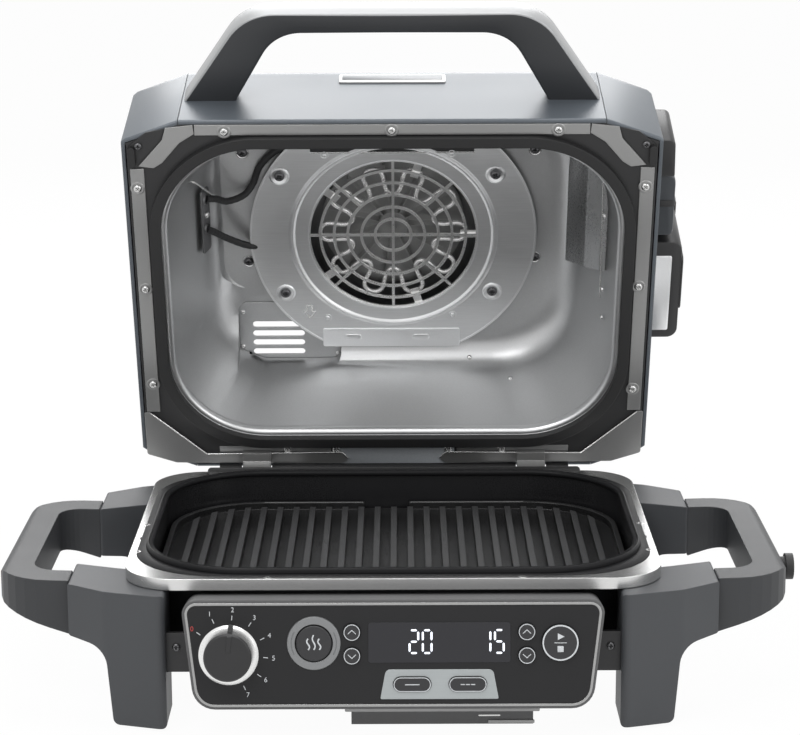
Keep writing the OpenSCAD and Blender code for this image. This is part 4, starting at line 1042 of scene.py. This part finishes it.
class GRILL_OT_element_leads(bpy.types.Operator):
    """Run the two sleeved leads from the terminal plate to the element, with the sensor rod beside them"""

    bl_idname = "grill.element_leads"
    bl_label = "Element leads"

    upper = (
        (-158.0, -47.5, 81.0), (-150.0, -43.5, 88.0), (-141.0, -37.0, 96.0), (-127.5, -39.0, 103.0),
        (-119.5, -48.0, 107.5), (-112.5, -65.0, 108.4), (-96.0, -80.0, 108.6), (-80.0, -76.0, 108.6),
    )
    lower = (
        (-158.5, -19.5, 79.0), (-151.0, -11.0, 87.0), (-143.0, -1.5, 95.0), (-126.5, 10.5, 103.5),
        (-113.0, 14.0, 108.2), (-101.0, 16.0, 108.6),
    )
    plate_spot, plate_half, plate_top = on_wall(-27.0, 81.0), (30.0, 7.5), 1.2
    bushes, plate_screw = (-20.5, 7.5), -5.5
    wall_screw = on_wall(-87.0, 55.0)
    screw_radius = 3.0
    rod_start, rod_end, rod_off = on_wall(-76.0, 58.0), on_wall(-50.5, 85.0), 5.0

    def execute(self, context):
        size = context.scene.grill_leads
        for name, route in (("upper_lead", self.upper), ("lower_lead", self.lower)):
            parts = bmesh.new()
            pipe(parts, smooth_path(route, 12), in_mm(size.sleeve), LID, 18, self.braid)
            piece(name, parts, "lead_sleeve", "lid", "seal_rubber", 60)
        self.fix_plate()
        rod = bmesh.new()
        off = WALL_OUT * self.rod_off
        path = smooth_path((self.rod_start - WALL_OUT, self.rod_start + off, self.rod_end + off), 8)
        pipe(rod, path, in_mm(size.rod), LID, 12)
        piece("sensor_rod", rod, "screw_steel", "lid", "element_steel", 60)
        return {"FINISHED"}

    def braid(self, step):
        """How the sleeve's braid swells along a lead."""
        return 1.0 + 0.03 * math.sin(1.7 * step)

    def fix_plate(self):
        """The terminal plate with its two bushes, its screw and the screw above it."""
        wall = facing(LID, self.plate_spot, WALL_OUT)
        along = ((wall.inverted() @ LID).to_3x3() @ Vector((0, 1, 0))).to_2d()
        wall = wall @ Matrix.Rotation(math.atan2(along.y, along.x), 4, "Z")
        plate, heads = bmesh.new(), bmesh.new()
        pad(plate, rounded_box((0, 0), self.plate_half, 3.0), -0.2, self.plate_top, 0.4, wall)
        for shift in self.bushes:
            dimple(plate, wall @ Matrix.Translation((shift, 0, self.plate_top)), 3.2, 4.6, 1.6)
        screw = wall @ Matrix.Translation((self.plate_screw, 0, self.plate_top))
        pan_screw(heads, screw, self.screw_radius, 2.2)
        pan_screw(heads, facing(LID, self.wall_screw, WALL_OUT), self.screw_radius, 2.4)
        piece("terminal_plate", plate, "zinc_bracket", "lid", "bracket_steel")
        piece("terminal_screws", heads, "screw_steel", "lid", "strip_steel")


class GRILL_OT_heating_tube(bpy.types.Operator):
    """Bend the heating tube into its ring of radial loops"""

    bl_idname = "grill.heating_tube"
    bl_label = "Heating tube"

    loops, ring, reach, radius = 10, 50.0, 13.2, 2.0
    middle_y, skew = 2.0, 0.05
    loop_steps = 36

    def execute(self, context):
        inside = LID.inverted()
        heights = [(inside @ vert.co).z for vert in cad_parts["heating_element"].data.vertices]
        level = (min(heights) + max(heights)) / 2
        count = self.loop_steps * self.loops
        path = []
        for k in range(count + 1):
            wave = math.tau * self.loops * k / count
            turn = wave / self.loops + self.skew * math.sin(2 * wave)
            out = self.ring + self.reach * math.cos(wave)
            path.append(Vector((out * math.cos(turn), self.middle_y + out * math.sin(turn), level)))
        parts = bmesh.new()
        pipe(parts, path, self.radius, LID, 14)
        made = piece("heating_tube", parts, "element_tube", "lid", "element_steel", 60)
        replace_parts(made, "heating_element")
        return {"FINISHED"}


class GRILL_OT_flange_screws(bpy.types.Operator):
    """Set the screws of the bright flange round the tub and of the leg brackets"""

    bl_idname = "grill.flange_screws"
    bl_label = "Flange screws"

    spots = (
        (-193.0, -81.0), (193.0, -81.0), (-193.0, -10.0), (193.0, -10.0), (-91.8, -145.5), (94.3, -145.5),
    )
    head_h, bracket_head_h = 0.24, 1.8
    holes = tuple(((x, -46.0), (1.5, 3.2), 1.4, (113.45, 113.6, 0.03)) for x in (-193.5, 193.5))
    bracket_spots = ((-158.6, -154.0, 63.0), (158.6, -154.0, 63.0))

    def execute(self, context):
        head = in_mm(context.scene.grill_fixings.head)
        heads, brackets = bmesh.new(), bmesh.new()
        for x, y in self.spots:
            pan_screw(heads, facing(ROW, (x, y, FLANGE_Z), (0, 0, 1)), head, self.head_h)
        piece("flange_screw_heads", heads, "screw_steel", "base", "strip_steel")
        # Painted shade: the holes are dark pads on the flange, not cut through it, standing in for the shade
        # inside them.
        plates("flange_holes", self.holes, ROW, "blackened_steel", "base", "bracket_steel")
        for spot in self.bracket_spots:
            pan_screw(brackets, upright(spot), head * 0.9, self.bracket_head_h)
        piece("bracket_screws", brackets, "dark_screw", "base", "strip_steel")
        return {"FINISHED"}


class GRILL_OT_tub_edge(bpy.types.Operator):
    """Roll the tub's lip, lay its seat and stand the dark shield behind it"""

    bl_idname = "grill.tub_edge"
    bl_label = "Tub edge"

    lip_half, lip_radius = (188.2, 139.2), 79.2
    lip = (
        (0, 113.6), (0, 116.3), (0.5, 117.4), (1.6, 118.0), (3.9, 118.0), (5.0, 117.4), (5.6, 116.3),
        (5.6, 114.8), (5.0, 113.7), (3.9, 113.1), (1.0, 113.1),
    )
    seat = (
        ((188.0, 139.0), 79.0, 113.4), ((188.0, 139.0), 79.0, 113.72), ((193.4, 142.2), 62.2, 113.72),
        ((194.0, 142.8), 62.8, 113.4),
    )
    shield_y = 150.2
    shield = (((0, 111.4), (158.0, 5.4), 3.0, (-1.0, 0.05, 0.3)),)
    corner_steps = 16

    def execute(self, context):
        lip = drawn_in(self.lip_half, self.lip_radius, self.lip)
        for name, sections in (("tub_rolled_lip", lip), ("tub_seat_ring", self.seat)):
            parts = bmesh.new()
            rolled_ring(parts, sections, self.corner_steps, ROW)
            piece(name, parts, "lip_enamel", "base", "black_steel", 50)
        # Painted shade: a dark sheet behind the tub, along the gap under the lid's rear, standing in for the
        # shade seen there.
        behind = upright((0, self.shield_y, 0))
        plates("rear_shield", self.shield, behind, "blackened_steel", "base", "bracket_steel")
        return {"FINISHED"}


class GRILL_OT_tray_trim(bpy.types.Operator):
    """Fold the front tray's lip and cut its slit and pull tab"""

    bl_idname = "grill.tray_trim"
    bl_label = "Tray trim"

    front_y = -162.0
    lip = (
        ((35.5, 17.6), (71.2, 1.4), 0.6, (-0.2, 1.6, 0.5)),
        ((86.0, 8.0), (17.0, 1.2), 0.6, (-0.2, 1.2, 0.4)),
    )
    slit = (((70.0, 12.6), (8.0, 0.6), 0.3, (-SINK, 0.2, 0.05)),)

    def execute(self, context):
        face = upright((0, self.front_y, 0))
        plates("tray_lip", self.lip, face, "rear_steel", "probe_tray", "black_steel")
        plates("tray_slit", self.slit, face, "screw_steel", "probe_tray", "black_steel")
        return {"FINISHED"}


class GRILL_OT_handle(bpy.types.Operator):
    """Bend the lid's handle from a dark grip and a silver cover along its outer side"""

    bl_idname = "grill.handle"
    bl_label = "Lid handle"

    # Corners of the right half and bend radii, along the handle's outer and inner sides
    outer, outer_bends = ((169.0, -154.5), (169.0, -156.2), (118.0, -233.2)), (1.0, 44.0, 44.0, 1.0)
    inner, inner_bends = ((126.0, -150.0), (126.0, -157.5), (93.0, -216.2)), (10.0, 36.0, 36.0, 10.0)
    # Points across the handle: 0 from its outer or 1 from its inner side, the shift from there and the height
    grip_section = (
        (0, 1.8, 44.0), (0, 1.8, 68.0), (1, -2.5, 68.0), (1, -0.7, 67.3), (1, 0, 65.5), (1, 0, 46.5),
        (1, -0.7, 44.7), (1, -2.5, 44.0),
    )
    cover_section = (
        (0, 0, 45.4), (0, 0, 66.6), (0, 0.4, 67.6), (0, 1.4, 68.0), (0, 1.9, 68.0), (0, 1.9, 44.0),
        (0, 1.4, 44.0), (0, 0.4, 44.4),
    )

    def execute(self, context):
        near, far = self.side(self.outer, self.outer_bends), self.side(self.inner, self.inner_bends)
        grip = self.loft(self.grip_section, near, far)
        cover = self.loft(self.cover_section, near, far)
        # The grip wears the darker copy of the plastic: painted shade.
        made = piece("handle_grip", grip, "shaded_handle_plastic", "lid", "dark_plastic", 50)
        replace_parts(made, "lid_handle")
        piece("handle_cover", cover, "cover_silver", "lid", "strip_steel", 50)
        return {"FINISHED"}

    def side(self, corners, bends):
        """One side of the handle from right to left, evenly divided."""
        mirrored = tuple((-x, y) for x, y in reversed(corners))
        return evened(bent_path(corners + mirrored, bends, 14), 96)

    def loft(self, section, near, far):
        """A solid along the handle with one section between its two sides."""
        parts = bmesh.new()
        rings = []
        for a, b in zip(near, far):
            wide = (b - a).length
            along = (b - a) / wide
            reaches = [(share * wide + shift, height) for share, shift, height in section]
            rings.append(row(parts, [(a.x + along.x * t, a.y + along.y * t, h) for t, h in reaches], LID))
        solid(parts, rings)
        return parts


class GRILL_OT_plate_edge(bpy.types.Operator):
    """Polish the front edge of the grill plate's rear wall"""

    bl_idname = "grill.plate_edge"
    bl_label = "Plate edge"

    wall_y, wall_z = 128.9, 92.0
    runs = ((-109.0, -26.0), (14.0, 109.0))

    def execute(self, context):
        parts = bmesh.new()
        level = ROW @ Matrix.Translation((0, 0, self.wall_z))
        for start, end in self.runs:
            ribbon(parts, ((start, self.wall_y), (end, self.wall_y)), 1.1, -0.1, 0.3, level)
        piece("plate_rear_edge", parts, "plate_edge", "plate", "cast_plate")
        return {"FINISHED"}


class GRILL_OT_badge(bpy.types.Operator):
    """Set the bare badge plate on the lid's front"""

    bl_idname = "grill.badge"
    bl_label = "Badge plate"

    spot = (0, -152.38, 93.0)
    lean = math.atan(12.0 / 116.0)
    plate = (((0, 0), (44.0, 9.5), 2.2, (-0.3, 1.2, 0.5)),)
    field = (((0, 1.6), (41.4, 5.6), 1.2, (1.1, 1.35, 0.1)),)

    def execute(self, context):
        face = LID @ Matrix.Translation(self.spot) @ Matrix.Rotation(math.pi / 2 - self.lean, 4, "X")
        plates("badge_plate", self.plate, face, "badge_silver", "lid", "bright_trim")
        plates("badge_field", self.field, face, "badge_grey", "lid", "bright_trim")
        return {"FINISHED"}


class GRILL_OT_dial_marks(bpy.types.Operator):
    """Print the ticks and numerals round the dial and set its pointer"""

    bl_idname = "grill.dial_marks"
    bl_label = "Dial marks"

    tick_radii, numeral_radius = (24.8, 28.2), 32.2
    # The pointer's outline in radius and height, its slices across, its middle and how far its faces draw in
    pointer = (
        (4.0, 17.3), (4.0, 18.0), (15.2, 18.1), (16.4, 17.0), (18.0, 9.2), (22.2, 8.0), (22.6, 7.4),
        (22.6, 5.7), (17.0, 5.7), (15.6, 17.3),
    )
    slices = (-1.8, -1.35, 1.35, 1.8)
    pointer_middle, pinch = (0, 13.0, 11.5), 0.007

    def execute(self, context):
        mark = context.scene.grill_marks
        width, tall = in_mm(mark.line), in_mm(mark.numeral)
        low, high = FACE_W - SINK, FACE_W + in_mm(mark.lift)
        ticks, numerals, zero = bmesh.new(), bmesh.new(), bmesh.new()
        for number, stop in enumerate(DIAL_STOPS):
            way = Vector((math.sin(math.radians(stop)), math.cos(math.radians(stop))))
            radii = (*self.tick_radii, self.numeral_radius)
            *spots, spot = [(DIAL[0] + way.x * r, DIAL[1] + way.y * r) for r in radii]
            ribbon(ticks, spots, width, low, high, PANEL)
            numeral(numerals if number else zero, str(number), spot, tall, low, high, PANEL)
        piece("dial_ticks", ticks, "panel_ink", "base", "button_grey")
        piece("dial_numerals", numerals, "panel_ink", "base", "button_grey", 20)
        piece("dial_zero", zero, "off_ink", "base", "button_grey", 20)
        self.set_pointer(DIAL_STOPS[2])
        return {"FINISHED"}

    def set_pointer(self, stop):
        """The raised pointer on the knob, turned to a stop."""
        parts = bmesh.new()
        at = PANEL @ Matrix.Translation((*DIAL, 0)) @ Matrix.Rotation(-math.radians(stop), 4, "Z")
        rings = [row(parts, [(x, r, w) for r, w in self.pointer], at) for x in self.slices]
        for vert in rings[0] + rings[-1]:
            vert.co = vert.co.lerp(at @ Vector(self.pointer_middle), self.pinch)
        solid(parts, rings)
        piece("dial_pointer", parts, "knob_black", "dial", "dark_plastic")


class GRILL_OT_button_marks(bpy.types.Operator):
    """Print the button rings, chevrons, heat lines, start and stop signs and pill outlines"""

    bl_idname = "grill.button_marks"
    bl_label = "Button marks"

    arrow_ring = 5.55
    chevron_half, chevron_foot, chevron_tip = 2.9, 1.1, 1.6
    pill_half, pill_radius = (13.0, 4.9), 4.85
    pill_bars = {"manual_button": ((-5.2, 5.2),), "preset_button": ((-5.2, -2.2), (-1.5, 1.5), (2.2, 5.2))}
    # Each heat line's place across, foot and top
    heat_lines = ((-4.0, -4.4, 3.6), (0.0, -4.4, 6.2), (4.0, -4.4, 3.6))
    heat_steps = 16
    arc_radius, arc_starts, arc_sweep = 16.2, (60, 240), 60
    start_ring, divider_half = 12.4, 4.4
    start_sign = ((-2.0, 7.0), (2.9, 4.5), (-2.0, 2.0))
    stop_drop, stop_half = 4.5, 2.2

    def execute(self, context):
        mark = context.scene.grill_marks
        self.width, self.lift = in_mm(mark.line), in_mm(mark.lift)
        for name, (x, v, way) in ARROWS.items():
            parts = bmesh.new()
            self.line(parts, ring_points((x, v), self.arrow_ring), 1.0, True)
            foot, tip = v - self.chevron_foot * way, v + self.chevron_tip * way
            self.line(parts, ((x - self.chevron_half, foot), (x, tip), (x + self.chevron_half, foot)), 1.0)
            piece(name + "_mark", parts, "panel_ink", name, "button_grey")
        self.print_smoke()
        self.print_start()
        for name, (x, v) in PILLS.items():
            parts = bmesh.new()
            self.line(parts, rounded_box((x, v), self.pill_half, self.pill_radius, 10), 1.0, True)
            for start, end in self.pill_bars[name]:
                self.line(parts, ((x + start, v), (x + end, v)), 1.2)
            piece(name + "_mark", parts, "panel_ink", name, "button_grey")
        return {"FINISHED"}

    def line(self, parts, points, scale, closed=False):
        """A printed line on the buttons' tops."""
        ribbon(parts, points, self.width * scale, BUTTON_W - SINK, BUTTON_W + self.lift, PANEL, closed)

    def print_smoke(self):
        """Three heat lines on the smoke button and two arcs on its ring."""
        x, v = SMOKE
        parts, arcs = bmesh.new(), bmesh.new()
        for shift, low, high in self.heat_lines:
            shares = [k / self.heat_steps for k in range(self.heat_steps + 1)]
            wave = [(x + shift + math.sin(math.tau * s), v + low + (high - low) * s) for s in shares]
            self.line(parts, wave, 1.7)
        piece("smoke_button_mark", parts, "panel_ink", "smoke_button", "button_grey")
        for start in self.arc_starts:
            points = arc(SMOKE, self.arc_radius, start, start + self.arc_sweep, 20)
            ribbon(arcs, points, 0.7, RING_W - SINK, RING_W + 0.06, PANEL)
        piece("smoke_ring_arcs", arcs, "ring_ink", "base", "button_grey")

    def print_start(self):
        """A ring and a divider on the start button, with a start sign above and a stop sign below."""
        x, v = START
        parts = bmesh.new()
        self.line(parts, ring_points((x, v), self.start_ring), 1.8, True)
        self.line(parts, ((x - self.divider_half, v), (x + self.divider_half, v)), 0.9)
        go = [(x + across, v + up) for across, up in self.start_sign]
        stop = rounded_box((x, v - self.stop_drop), (self.stop_half, self.stop_half), 0.3, 2)
        for outline in (go, stop):
            pad(parts, outline, BUTTON_W - SINK, BUTTON_W + self.lift, 0.05, PANEL)
        piece("start_button_mark", parts, "panel_ink", "start_button", "button_grey")


class GRILL_OT_display_digits(bpy.types.Operator):
    """Light the numbers in the display window"""

    bl_idname = "grill.display_digits"
    bl_label = "Display digits"

    # The segments that each digit lights, with the middles of the two numbers and the digits' spacing
    lit = ("abcdef", "bc", "abged", "abgcd", "fgbc", "afgcd", "afgedc", "abc", "abcdefg", "abcdfg")
    left_x, right_x, middle_v = 19.5, 71.2, 9.4
    pitch = 0.58
    # A digit's half width and half height, the gap at its corners and half a segment's width, as shares
    half_width, half_height, corner_gap, half_segment = 0.19, 0.5, 0.05, 0.045

    def execute(self, context):
        mark = context.scene.grill_marks
        tall = in_mm(mark.digit)
        parts = bmesh.new()
        for value, middle in ((mark.left_reading, self.left_x), (mark.right_reading, self.right_x)):
            for place, sign in enumerate(f"{value:02d}"):
                self.digit(parts, int(sign), middle + (place - 0.5) * self.pitch * tall, tall)
        piece("display_digits", parts, "lit_segment", "base", "button_grey")
        return {"FINISHED"}

    def digit(self, parts, value, x, tall):
        """One digit of seven pointed segments."""
        w, h = self.half_width * tall, self.half_height * tall
        ends = {
            "a": ((-w, h), (w, h)), "b": ((w, h), (w, 0)), "c": ((w, 0), (w, -h)), "d": ((-w, -h), (w, -h)),
            "e": ((-w, 0), (-w, -h)), "f": ((-w, h), (-w, 0)), "g": ((-w, 0), (w, 0)),
        }
        for key in self.lit[value]:
            start, end = (Vector(p) for p in ends[key])
            along = (end - start).normalized()
            gap = along * self.corner_gap * tall
            tip = along * self.half_segment * tall
            across = Vector((-tip.y, tip.x))
            start, end = start + gap, end - gap
            upper = (start, start + tip + across, end - tip + across)
            lower = (end, end - tip - across, start + tip - across)
            spots = [(x + p.x, self.middle_v + p.y) for p in upper + lower]
            pad(parts, spots, DISPLAY_W - 0.02, DISPLAY_W + 0.08, 0.03, PANEL)


class GRILL_OT_smoke_housing(bpy.types.Operator):
    """Mould the smoke box, its elbow and its guard with rounded outer corners"""

    bl_idname = "grill.smoke_housing"
    bl_label = "Smoke housing"

    wall_x = 216.0
    box_x, box_low_y, box_high_y, box_bend, box_wall = 240.0, -37.5, 56.5, 9.0, 2.0
    # Insets and heights up the box's outside, then down its inside
    outside = ((3.5, 22.0), (1.1, 23.0), (0, 25.5), (0, 89.2), (0.7, 90.0))
    inside = ((0, 90.0), (0, 24.5))
    # The outer corners, their bends, the low and high ends and how far the ends are softened
    ears = tuple((((222.0, y), (222.0, y + 4.0)), (1.0, 1.0), 78.0, 95.5, 0.6) for y in (-41.5, 56.5))
    elbow = ((231.0, -100.5), (231.0, -42.5)), (9.0, 5.0), 22.0, 80.0, 4.0
    guard = ((228.0, -134.9), (229.0, -100.9)), (6.0, 1.5), 16.0, 74.0, 3.0

    def execute(self, context):
        box, elbow, guard = bmesh.new(), bmesh.new(), bmesh.new()
        rings = inset_rings(box, self.box_outline(0), self.outside, LID)
        rings += inset_rings(box, self.box_outline(self.box_wall), self.inside, LID)
        solid(box, rings)
        for ear in self.ears:
            self.block(box, *ear)
        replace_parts(piece("smoke_box_shell", box, "smoke_plastic", "lid", "dark_plastic"), "smoke_box")
        self.block(elbow, *self.elbow)
        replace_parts(piece("smoke_elbow_shell", elbow, "elbow_paint", "lid", "lid_paint"), "smoke_elbow")
        self.block(guard, *self.guard)
        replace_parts(piece("smoke_guard_shell", guard, "smoke_plastic", "lid", "dark_plastic"), "smoke_guard")
        return {"FINISHED"}

    def outline(self, wall_x, first, second, bends):
        """Two outer corners, bent, with the outline's ends on the lid's side."""
        return bent_path(((wall_x, first[1]), first, second, (wall_x, second[1])), bends, 8)

    def box_outline(self, inset):
        """The smoke box's outline, drawn in on all sides."""
        first = (self.box_x - inset, self.box_low_y + inset)
        second = (self.box_x - inset, self.box_high_y - inset)
        bend = self.box_bend - inset
        return self.outline(self.wall_x + inset, first, second, (bend, bend))

    def block(self, parts, corners, bends, low, high, soft):
        """A solid block against the lid's side, with its outer corners bent and both ends softened."""
        levels = ((soft, low), (0.3 * soft, low + 0.3 * soft), (0, low + soft))
        levels += ((0, high - soft), (0.3 * soft, high - 0.3 * soft), (soft, high))
        solid(parts, inset_rings(parts, self.outline(self.wall_x, *corners, bends), levels, LID))


class GRILL_OT_smoke_trim(bpy.types.Operator):
    """Dress the smoke box with its bright plate and its side tab, and the elbow with its band"""

    bl_idname = "grill.smoke_trim"
    bl_label = "Smoke box trim"

    box_foot = 22.0
    plate = (((224.2, -11.5), (7.4, 36.0), 1.6, (-0.1, 0.7, 0.3)),)
    tab_spot = (240.0, 3.5, 42.0)
    tab = (((0, 0), (19.0, 25.5), 5.0, (-0.2, 1.6, 0.8)),)
    band_y = -74.0
    band = (((223.7, 51.0), (8.1, 29.7), 4.0, (-3.0, 3.0, 0.8)),)

    def execute(self, context):
        plates("smoke_box_plate", self.plate, under(self.box_foot), "tab_steel", "lid", "strip_steel")
        side = LID @ Matrix.Translation(self.tab_spot) @ Matrix.Rotation(math.pi / 2, 4, "Y")
        plates("smoke_box_tab", self.tab, side, "smoke_plastic", "lid", "dark_plastic")
        across = LID @ Matrix.Translation((0, self.band_y, 0)) @ Matrix.Rotation(math.pi / 2, 4, "X")
        plates("smoke_elbow_band", self.band, across, "smoke_plastic", "lid", "dark_plastic")
        return {"FINISHED"}


OPERATORS = (
    GRILL_OT_stage,
    GRILL_OT_finishes,
    GRILL_OT_rim_screws,
    GRILL_OT_disc_fixings,
    GRILL_OT_liner_fixings,
    GRILL_OT_element_leads,
    GRILL_OT_heating_tube,
    GRILL_OT_flange_screws,
    GRILL_OT_tub_edge,
    GRILL_OT_tray_trim,
    GRILL_OT_handle,
    GRILL_OT_plate_edge,
    GRILL_OT_badge,
    GRILL_OT_dial_marks,
    GRILL_OT_button_marks,
    GRILL_OT_display_digits,
    GRILL_OT_smoke_housing,
    GRILL_OT_smoke_trim,
)


class GRILL_PT_looks(bpy.types.Panel):
    """Lists the cooker's settings and steps"""

    bl_idname = "GRILL_PT_looks"
    bl_label = "Grill and smoker"
    bl_space_type = "VIEW_3D"
    bl_region_type = "UI"
    bl_category = "Grill"

    def draw(self, context):
        for group, kind in SETTINGS.items():
            box = self.layout.box()
            for key in kind.__annotations__:
                box.prop(getattr(context.scene, group), key)
        for operator in OPERATORS:
            self.layout.operator(operator.bl_idname)


def register():
    for kind in (*SETTINGS.values(), *OPERATORS, GRILL_PT_looks):
        bpy.utils.register_class(kind)
    for group, kind in SETTINGS.items():
        setattr(bpy.types.Scene, group, bpy.props.PointerProperty(type=kind))


def unregister():
    for group in SETTINGS:
        delattr(bpy.types.Scene, group)
    for kind in (GRILL_PT_looks, *reversed(OPERATORS), *reversed(SETTINGS.values())):
        bpy.utils.unregister_class(kind)


def main():
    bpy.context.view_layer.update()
    register()
    for operator in OPERATORS:
        getattr(bpy.ops.grill, operator.bl_idname.split(".")[1])()


if __name__ == "__main__":
    main()
